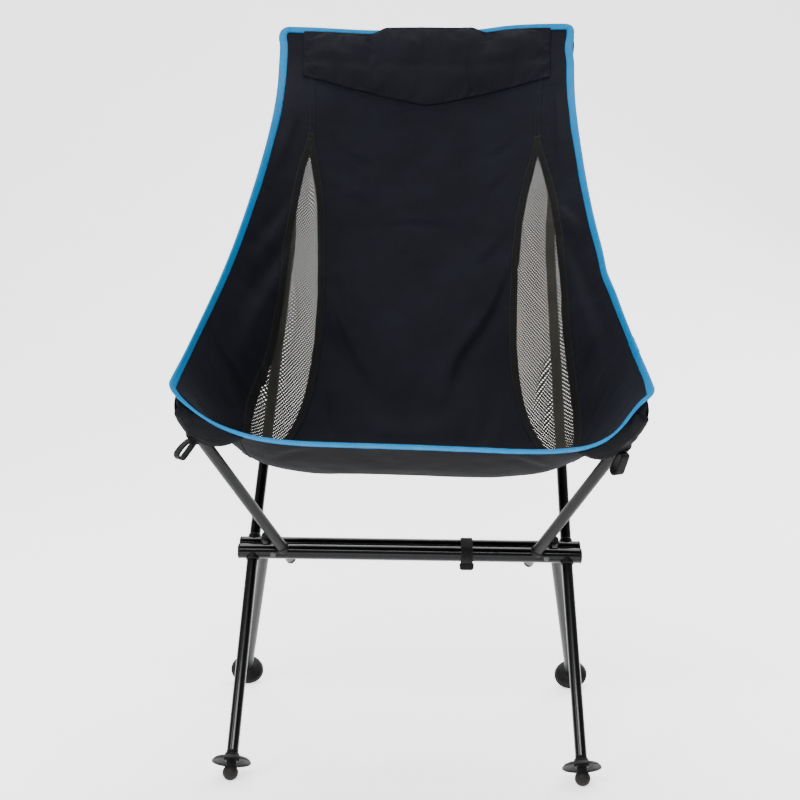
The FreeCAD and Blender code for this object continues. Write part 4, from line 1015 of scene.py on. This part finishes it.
def headrest():
    columns, rows = 92, 46
    obj = patch("headrest_panel", headrest_where, columns, rows, HEAD_LOW,
                lambda a, b: HEAD_LOW + head_puff(a, b), [HEADREST, NAVY_BACK], 1)
    a, b = share_grid(columns, rows)
    across, down = headrest_where(a, b)
    normal = sling_normal(across, down).reshape(-1, 3)
    count = normal.shape[0]
    edge = ((a < 1e-6) | (a > 1 - 1e-6) | (b < 1e-6) | (b > 1 - 1e-6)).ravel()
    pinned = np.concatenate([edge, np.ones(count, bool)])
    rest, moved = inflate(obj, pinned, 0.0055)
    lift = np.einsum("ij,ij->i", moved[:count] - rest[:count], normal)
    slide = moved[:count] - rest[:count] - normal * lift[:, None]
    dent = 0.55 * np.exp(-((down - 0.098 - 0.006 * np.cos(across * 2.1)) / 0.014) ** 2).ravel()
    ruck = 0.0007 * lattice_noise(*[t.ravel() for t in flat_place(across, down)], 24.0, 31)
    lift = np.maximum(lift - 0.0030 * dent + ruck * ~edge, -0.6 * head_puff(a, b).ravel())
    moved[:count] = rest[:count] + normal * lift[:, None] + slide
    obj.data.vertices.foreach_set("co", moved.ravel())
    smooth = obj.modifiers.new("Smooth", "SUBSURF")
    smooth.levels = smooth.render_levels = 1
    apply_modifiers(obj)
    return obj


def apply_modifiers(obj):
    graph = bpy.context.evaluated_depsgraph_get()
    mesh = bpy.data.meshes.new_from_object(obj.evaluated_get(graph))
    obj.modifiers.clear()
    old = obj.data
    obj.data = mesh
    mesh.name = obj.name
    bpy.data.meshes.remove(old)


head = headrest()
finish_piece(head, "fabric_navy", "headrest_panel")
a = np.linspace(0.02, 0.98, 160)
for b_line in (0.975, 0.955):
    across, down = headrest_where(a, np.full_like(a, b_line))
    lift = (HEAD_LOW + head_puff(a, np.full_like(a, b_line))) * 1000 + 0.35
    line = plain_sling(across, down) + sling_normal(across, down) * (
        folds(across, down) + lift / 1000)[:, None]
    seam_threads.append((line, sling_normal(across, down)))


# ---------------------------------------------------------- pockets and gussets
def vec(x, y, z):
    return np.array([x, y, z], float)


# Back and height of the two crossbars' axes, in metres.
FRONT_BAR = (-0.0935, 0.248)
REAR_BAR = (-0.0731, 0.2536)


def seat_pole(side):
    """Start, end and direction of a seat pole, in metres."""
    start = vec(side * 0.1635, *FRONT_BAR)
    end = vec(side * 0.266, -0.2815, 0.448)
    return start, end, unit(end - start)


def lean(back_degrees, side_degrees):
    return unit(vec(math.tan(math.radians(side_degrees)), math.tan(math.radians(back_degrees)), 1.0))


# Back poles: how far both parts lean back and sway to one side, in degrees; then the straight
# run, the radius of the bend, the run above it and the lower tube's length, in metres.
LOW_LEAN, HIGH_LEAN, SWAY = 33.2, 14.5, 1.23
LOW_RUN, BEND_RADIUS, HIGH_RUN, LOWER_TUBE = 0.455, 0.260, 0.264, 0.356


def back_pole_foot(side):
    return vec(side * 0.2074, *REAR_BAR)


def back_pole_low(side):
    """Direction of a back pole's straight lower part."""
    return lean(LOW_LEAN, SWAY - side * 2.1)


def back_pole_top(side):
    """Top of a back pole's tube and its direction there."""
    low, high = back_pole_low(side), lean(HIGH_LEAN, SWAY + side * 4.2)
    start = back_pole_foot(side)
    toward = unit(high - low * high.dot(low))
    angle = math.acos(low.dot(high))
    along = LOW_RUN + BEND_RADIUS * math.sin(angle) + HIGH_RUN * math.cos(angle)
    across = BEND_RADIUS * (1 - math.cos(angle)) + HIGH_RUN * math.sin(angle)
    return start + low * along + toward * across, high


def side_axes(direction, hint):
    first = unit(hint - direction * hint.dot(direction))
    return first, np.cross(direction, first)


def sleeve(name, end, direction, hint, rings, liner, material, seed):
    """Sewn sleeve round a pole's end: outer skin, hemmed mouth and inner lining."""
    first, second = side_axes(direction, hint)
    turns = np.linspace(0, 2 * math.pi, 49)[:-1]
    knots = [r[0] for r in rings]
    wide = natural_spline(knots, [r[1] for r in rings])
    deep = natural_spline(knots, [r[2] for r in rings])
    shift = natural_spline(knots, [r[3] for r in rings])
    places = np.concatenate([np.linspace(rings[0][0], rings[-1][0] - 4, 40),
                             rings[-1][0] - 4 + 4 * np.sin(np.linspace(0.2, 1.0, 6) * math.pi / 2)])
    loops = []
    for place in places:
        ruck = 0.35 * lattice_noise(turns * 5.0, np.full(48, place), 7.0, seed)
        hem = 0.7 * math.exp(-((place - rings[0][0] - 3.0) / 2.6) ** 2)
        closing = 1.0 if place < rings[-1][0] - 4 else math.sqrt(
            max(0.02, 1 - ((place - rings[-1][0] + 4) / 4.05) ** 2))
        seam = 0.8 * np.exp(-((np.cos(turns) + 1.0) / 0.02) ** 2)
        radius_a = (wide(place) + hem + ruck + seam) * closing
        radius_b = (deep(place) + hem + ruck + seam) * closing
        loops.append(end + direction * place / 1000 + (
            first * (np.cos(turns) * radius_a)[:, None]
            + second * (np.sin(turns) * radius_b + shift(place))[:, None]) / 1000)
    inner = []
    for place, radius in liner:
        inner.append(end + direction * place / 1000 + (
            first * (np.cos(turns) * radius)[:, None] + second * (np.sin(turns) * radius)[:, None]) / 1000)
    rings_all = np.array(inner[::-1] + loops)
    count, size = rings_all.shape[:2]
    index = np.arange(count * size).reshape(count, size)
    faces = np.stack([index[:-1], np.roll(index[:-1], -1, 1), np.roll(index[1:], -1, 1), index[1:]],
                     -1).reshape(-1, 4).tolist()
    faces += [index[0, ::-1].tolist(), index[-1].tolist()]
    u, v = np.meshgrid(turns * 0.010, np.concatenate([np.array([p for p, r in liner[::-1]]), places]) / 1000)
    obj = mesh_object(name, rings_all.reshape(-1, 3), faces, [material], np.stack([u, v], -1).reshape(-1, 2))
    fix_normals(obj)
    return obj


def ruled(name, first, second, bulge, count, thick, materials, ruck=0.0, seed=1):
    """Thin cloth stretched between two lines of points, with a bulge between them."""
    t = np.linspace(0, 1, count)
    grid = first[:, None, :] * (1 - t)[None, :, None] + second[:, None, :] * t[None, :, None]
    grid = grid + bulge[:, None, :] * np.sin(math.pi * t)[None, :, None]
    a = np.gradient(grid, axis=0)
    b = np.gradient(grid, axis=1)
    normal = unit(np.cross(a, b) + 1e-12)
    x = np.cumsum(np.linalg.norm(b, axis=2), 1) * 1000
    y = np.cumsum(np.linalg.norm(a, axis=2), 0) * 1000
    grid = grid + normal * (ruck * lattice_noise(x, y, 11.0, seed) / 1000)[..., None]
    half = thick / 2000.0
    uv = np.stack([x, y], -1) / 1000
    return thin_sheet(name, grid + normal * half, grid - normal * half, uv, materials)


# Depth of the front pockets below the pole tips, webbing band included, in mm.
MOUTH = {"left": 42.0, "right": 54.0}

for label, side in SIDES:
    _, end, direction = seat_pole(side)
    out = vec(side, 0, 0)
    low = 12.0 - MOUTH[label]
    pocket = sleeve("front_pocket_" + label, end, direction, out,
                    [(low - 1, 10.3, 9.9, 0), (low + 6, 10.6, 9.7, 0), (-5, 10.6, 9.3, 0), (2, 9.8, 8.8, 0),
                     (10.5, 8.2, 7.0, 0)],
                    [(low - 0.5, 9.0), (low + 10, 8.8)], GRAY, 41 + side)
    finish_piece(pocket, "pocket_gray", "front_pocket_" + label)
    steps = np.linspace(0, 1, 26)
    forward = unit(vec(side * 0.25, -1.0, -0.55))
    forward = unit(forward - direction * forward.dot(direction))
    outward = unit(vec(side * 1.0, 0.25, -0.35))
    outward = unit(outward - direction * outward.dot(direction))
    reach = mix(4.0 - MOUTH[label], 7.0, steps)[:, None] / 1000
    radius = 0.0104 * (1 - 0.35 * steps ** 3)[:, None]
    front_line = end + direction * reach + forward * radius
    side_line = end + direction * reach + outward * radius
    hem = sling(side * mix(0.69, 0.966, steps ** 0.7), 0.990, -0.0016)
    hem_side = sling(side * 0.966, mix(0.925, 0.984, steps ** 0.8), -0.0016)
    sag = vec(0, 0.15, -1.0) * 0.007 * ((1 - steps) ** 1.5)[:, None] + forward * 0.0015
    front_gusset = ruled("gusset", hem, front_line, sag, 22, 1.1, [GRAY], 0.5, 51 + side)
    side_gusset = ruled("gusset", hem_side, side_line, (outward * 0.002)[None], 18, 1.1, [GRAY], 0.4,
                        55 + side)
    gusset = join("corner_gusset_" + label, [front_gusset, side_gusset])
    finish_piece(gusset, "pocket_gray")

    top, up = back_pole_top(side)
    pocket = sleeve("top_pocket_" + label, top, up, out,
                    [(-58, 10.2, 9.6, 0), (-30, 10.6, 10.0, -0.6), (-6, 10.4, 9.8, -0.8), (3, 9.2, 8.8, -0.6),
                     (10.5, 7.6, 7.0, -0.4)],
                    [(-57.5, 8.7), (-38, 8.6)], GRAY, 61 + side)
    finish_piece(pocket, "pocket_gray", "top_pocket_" + label)
    reach = (-52.0 + 58.0 * steps)[:, None] / 1000
    outer_line = top + up * reach + unit(vec(side, 0.25, 0)) * 0.0098
    inner_line = top + up * reach + unit(vec(-side, 0.25, 0)) * 0.0098
    hem_out = sling(side * 0.972, mix(0.088, 0.010, steps), -0.0012)
    hem_in = sling(side * mix(0.80, 0.86, steps), mix(0.088, 0.010, steps), -0.0012)
    slack = vec(0, 0.002, 0)[None]
    gusset = join("top_gusset_" + label, [
        ruled("gusset", hem_out, outer_line, slack, 18, 1.0, [GRAY], 0.4, 71 + side),
        ruled("gusset", hem_in, inner_line, slack, 18, 1.0, [GRAY], 0.4, 75 + side)])
    finish_piece(gusset, "pocket_gray")


# -------------------------------------------------------------------- pull loops
WEB_PROFILE = [(-7.5, -0.35), (-7.2, -0.75), (-5.0, -0.8), (0.0, -0.72), (5.0, -0.8), (7.2, -0.75),
               (7.5, -0.35), (7.5, 0.35), (7.2, 0.75), (5.0, 0.8), (0.0, 0.72), (-5.0, 0.8), (-7.2, 0.75),
               (-7.5, 0.35)]


def stadium_path(span, radius, count, pinch=0.0):
    """Closed path of two half circles joined by straight sides, as (along, across) in mm."""
    straight, turn = np.linspace(0, 1, count)[:-1], np.linspace(0, math.pi, count)[:-1]
    top = np.stack([span * straight, radius + 0 * straight], -1)
    far = np.stack([span + radius * np.sin(turn), radius * np.cos(turn)], -1)
    low = np.stack([span * (1 - straight), -radius + 0 * straight], -1)
    near = np.stack([-radius * np.sin(turn), -radius * np.cos(turn)], -1)
    path = np.concatenate([top, far, low, near])
    path[:, 1] *= 1 - pinch * np.exp(-((path[:, 0] + 2.0) / 7.0) ** 2)
    path[:, 1] += 0.7 * np.sin(math.pi * path[:, 0] / (span + radius))
    return path


def loop_strip(name, centre, along, across, width_way, path, profile, material):
    tangent = np.roll(path, -1, 0) - np.roll(path, 1, 0)
    tangent /= np.linalg.norm(tangent, axis=1, keepdims=True)
    points = centre + (along * path[:, :1] + across * path[:, 1:]) / 1000
    upward = along * tangent[:, 1:] - across * tangent[:, :1]
    return sweep(name, points, width_way, upward, profile, [material], closed=True)


for label, side, tilt, turn, clear in (("left", -1, 48, 215, 15.0), ("right", 1, 66, 132, 17.2)):
    _, end, direction = seat_pole(side)
    mouth = end - direction * MOUTH[label] / 1000
    tilt, turn = math.radians(tilt), math.radians(turn)
    hang = vec(math.cos(tilt) * math.cos(turn), math.cos(tilt) * math.sin(turn), -math.sin(tilt))
    width_way = vec(-math.sin(turn), math.cos(turn), 0)
    across = np.cross(hang, width_way)
    away = unit(hang - direction * hang.dot(direction))
    eye = mouth + direction * 0.0045 + away * clear / 1000
    loop = loop_strip("loop", eye, hang, across, width_way, stadium_path(17.5, 5.0, 14, 0.25),
                      WEB_PROFILE, WEBBING)
    first, second = side_axes(direction, vec(side, 0, 0))
    turns = np.linspace(0, 2 * math.pi, 49)[:-1]
    round_way = first * np.cos(turns)[:, None] + second * np.sin(turns)[:, None]
    wobble = 1.0 + 0.025 * np.sin(turns * 3 + side)
    band_points = mouth + direction * 0.0062 + round_way * (0.0112 * wobble)[:, None]
    band = sweep("band", band_points, direction, round_way,
                 [(a * 0.86, b * 1.4) for a, b in WEB_PROFILE], [WEBBING], closed=True)
    ring, ring_out = (np.append(line, line[:1], 0) for line in (band_points, round_way))
    for edge in (-0.0048, 0.0048):
        seam_threads.append((ring + ring_out * 0.0013 + direction * edge, ring_out))
    piece = join("front_pull_loop_" + label, [loop, band])
    finish_piece(piece, "webbing_black", "front_pull_loop_" + label)


# ----------------------------------------------------------------- storage strap
strap_forward = unit(vec(0, 0.0204, 0.0056))
strap_upward = np.cross(vec(1, 0, 0), strap_forward)
strap_centre = vec(0.075, *FRONT_BAR)
strap_loop = loop_strip("strap", strap_centre, strap_forward, strap_upward, vec(1, 0, 0),
                        stadium_path(21.155, 10.95, 22),
                        [(a * 7.75 / 7.5, b) for a, b in WEB_PROFILE], FUZZY)
drop = np.linspace(0, 1, 16)
tail_points = strap_centre + np.stack([0 * drop, -0.0035 - 0.0006 * np.sin(drop * 3.0),
                                       -0.0103 - 0.0103 * drop], -1)
tail = sweep("tail", tail_points, vec(1, 0, 0), vec(0, 1, 0),
             np.array([[(a * w / 7.5, b * 1.25) for a, b in WEB_PROFILE]
                       for w in np.interp(drop, [0, 0.25, 0.7, 0.92, 1.0], [8.0, 9.6, 9.4, 8.2, 6.6])]),
             [FUZZY])
strap = join("storage_strap", [strap_loop, tail])
finish_piece(strap, "webbing_black", "storage_strap", body="strap")
strap_rows = []
for edge in (-0.0081, 0.0081):
    strap_rows.append((tail_points[2:-1] + vec(edge, -0.00125, 0), np.repeat(vec(0, -1, 0)[None], 13, 0)))
strap_threads = stitch_object("strap_stitching", strap_rows, THREAD_BLACK, length=1.6, gap=0.6, thick=0.25)
finish_piece(strap_threads, "webbing_black", body="strap")

threads = stitch_object("seam_stitching", seam_threads, THREAD_BLACK, length=2.7, gap=1.0, thick=0.28)
finish_piece(threads, "tape_black")


# ------------------------------------------------------------ hard part finishes
def dress(node, material):
    """A CAD node keeps its shape and gets its own finish."""
    obj = NODES[node]
    obj.data.materials.clear()
    obj.data.materials.append(material)


BLACK = ((0.0016, 0.0016, 0.0019), (0.0045, 0.0046, 0.0052))
GRAPHITE = ((0.0050, 0.0050, 0.0052), (0.011, 0.011, 0.0113))
RUBBER = ((0.0024, 0.0024, 0.0024), (0.0070, 0.0070, 0.0069))
SATIN = {"metallic": 0.3, "coat": 0.04}
for node, bar in (("front_crossbar", FRONT_BAR), ("rear_crossbar", REAR_BAR)):
    dress(node, anodised("anodised_" + node, (-0.223, *bar), (1, 0, 0), 0.446, *BLACK, rough=0.24))
for label, side in SIDES:
    front_start, front_end = vec(side * 0.2058, *FRONT_BAR), vec(side * 0.2137, -0.2595, 0.0092)
    rear_start, rear_end = vec(side * 0.1922, *REAR_BAR), vec(side * 0.2440, 0.1509, 0.0092)
    for kind, begin, finish, tones, rough in (("front", front_start, front_end, BLACK, 0.30),
                                              ("rear", rear_start, rear_end, GRAPHITE, 0.36)):
        way, length = finish - begin, float(np.linalg.norm(finish - begin))
        dress("%s_leg_%s" % (kind, label),
              anodised("anodised_%s_leg_%s" % (kind, label), begin, way, length, *tones, rough=rough,
                       **({} if kind == "front" else SATIN)))
        foot = "%s_%s" % (kind, label)
        dress("foot_tip_" + foot, moulded("rubber_" + foot, *RUBBER, rough=0.62, dust=0.16))
        dress("foot_disc_" + foot, ringed_disc("disc_" + foot, finish, begin - finish))
        dress("leg_shock_cord_" + foot, braided("shock_cord_" + foot))
    start, end, direction = seat_pole(side)
    dress("seat_pole_" + label, anodised("anodised_seat_pole_" + label, start, direction,
                                         float(np.linalg.norm(end - start)), *GRAPHITE, rough=0.48,
                                         **SATIN))
    low, base = back_pole_low(side), back_pole_foot(side)
    dress("back_pole_lower_" + label, anodised("anodised_back_lower_" + label, base, low, LOWER_TUBE,
                                               *BLACK, rough=0.27))
    top, up = back_pole_top(side)
    dress("back_pole_upper_" + label, anodised("anodised_back_upper_" + label, base + low * LOWER_TUBE,
                                               top - base - low * LOWER_TUBE, 0.45, *BLACK, rough=0.27))

CAP_TONES = ((0.0022, 0.0022, 0.0026), (0.0065, 0.0065, 0.0072))
RING_TONES = ((0.0022, 0.0022, 0.0026), (0.0068, 0.0068, 0.0075))
for node, tones, rough in (
        ("crossbar_end_caps", CAP_TONES, 0.5),
        ("crossbar_spacers", ((0.0024, 0.0024, 0.0028), (0.0070, 0.0070, 0.0077)), 0.55),
        ("leg_socket_rings", RING_TONES, 0.42),
        ("pole_socket_rings", RING_TONES, 0.42),
        ("stub_end_caps", CAP_TONES, 0.46),
        ("stub_cord_anchors", ((0.0028, 0.0028, 0.0032), (0.0078, 0.0078, 0.0085)), 0.6),
        ("seat_pole_tips", CAP_TONES, 0.52),
        ("back_pole_tips", CAP_TONES, 0.52)):
    dress(node, moulded("moulded_" + node, *tones, rough))
for node in ("front_leg_stubs", "rear_leg_stubs", "seat_pole_stubs", "back_pole_stubs", "back_pole_ferrules"):
    dress(node, brushed("brushed_" + node, (0.10, 0.10, 0.105)))
dress("crossbar_rivets", brushed("brushed_rivets", (0.06, 0.06, 0.063)))
dress("pole_shock_cords", braided("shock_cord_poles"))


# -------------------------------------------------------------- stage and lights
def stage_material():
    s = Shade("studio_paper", Roughness=0.9, Specular_IOR_Level=0.1)
    grain = s.noise(s.place("Object"), 3.0, 2.0)
    s.set("Base Color", s.blend(grain, (0.90, 0.90, 0.905), (0.93, 0.93, 0.935)))
    s.set("Emission Color", (1.0, 1.0, 1.0, 1.0))
    s.set("Emission Strength", 1.3)
    return s.material


def backdrop():
    """Floor that curves up into a wall behind the chair."""
    line = [(-6.0, 0.0), (1.2, 0.0)]
    for t in np.linspace(0, 1, 24)[1:]:
        line.append((1.2 + 2.6 * math.sin(t * math.pi / 2), 2.6 * (1 - math.cos(t * math.pi / 2))))
    line.append((3.8, 7.0))
    verts = [(x, y, z - 0.0004) for y, z in line for x in (-7.0, 7.0)]
    faces = [[2 * i, 2 * i + 1, 2 * i + 3, 2 * i + 2] for i in range(len(line) - 1)]
    return mesh_object("studio_backdrop", verts, faces, [stage_material()])


backdrop()


def soft_light(name, place, target, size, watts):
    data = bpy.data.lights.new(name, "AREA")
    data.shape = "RECTANGLE"
    data.size, data.size_y = size
    data.energy = watts
    obj = bpy.data.objects.new(name, data)
    bpy.context.scene.collection.objects.link(obj)
    obj.location = place
    aim = Vector(target) - Vector(place)
    obj.rotation_euler = aim.to_track_quat("-Z", "Y").to_euler()


soft_light("key", (-0.2, -2.3, 2.35), (0, 0, 0.45), (1.5, 0.6), 80)
soft_light("fill", (-2.2, -2.0, 1.6), (0, 0, 0.5), (0.9, 1.6), 60)
soft_light("top", (0.0, 0.9, 3.2), (0, 0.3, 0.3), (2.6, 1.8), 120)
soft_light("rim", (1.9, 2.0, 1.7), (0, 0, 0.6), (0.8, 1.6), 45)
world = bpy.data.worlds.new("studio")
world.use_nodes = True
world.node_tree.nodes["Background"].inputs["Color"].default_value = (0.96, 0.97, 1.0, 1.0)
world.node_tree.nodes["Background"].inputs["Strength"].default_value = 0.45
bpy.context.scene.world = world


# ----------------------------------------------------------------------- camera
def camera():
    data = bpy.data.cameras.new("camera")
    data.sensor_width = 36.0
    data.lens = 63.0
    data.dof.use_dof = False
    obj = bpy.data.objects.new("camera", data)
    bpy.context.scene.collection.objects.link(obj)
    # The pinhole camera fitted to the photo: turn, downward tilt and roll in degrees.
    yaw, pitch, roll = (math.radians(v) for v in (-0.7, 5.6, 0.7))
    level = vec(math.cos(yaw), -math.sin(yaw), 0)
    ahead = vec(math.sin(yaw), math.cos(yaw), 0)
    forward = ahead * math.cos(pitch) - vec(0, 0, math.sin(pitch))
    upright = ahead * math.sin(pitch) + vec(0, 0, math.cos(pitch))
    right = level * math.cos(roll) + upright * math.sin(roll)
    above = upright * math.cos(roll) - level * math.sin(roll)
    pose = np.eye(4)
    pose[:3, 0], pose[:3, 1], pose[:3, 2] = right, above, -forward
    pose[:3, 3] = (0.0070, -1.9057, 0.6280)
    obj.matrix_world = Matrix(pose.tolist())
    bpy.context.scene.camera = obj


camera()
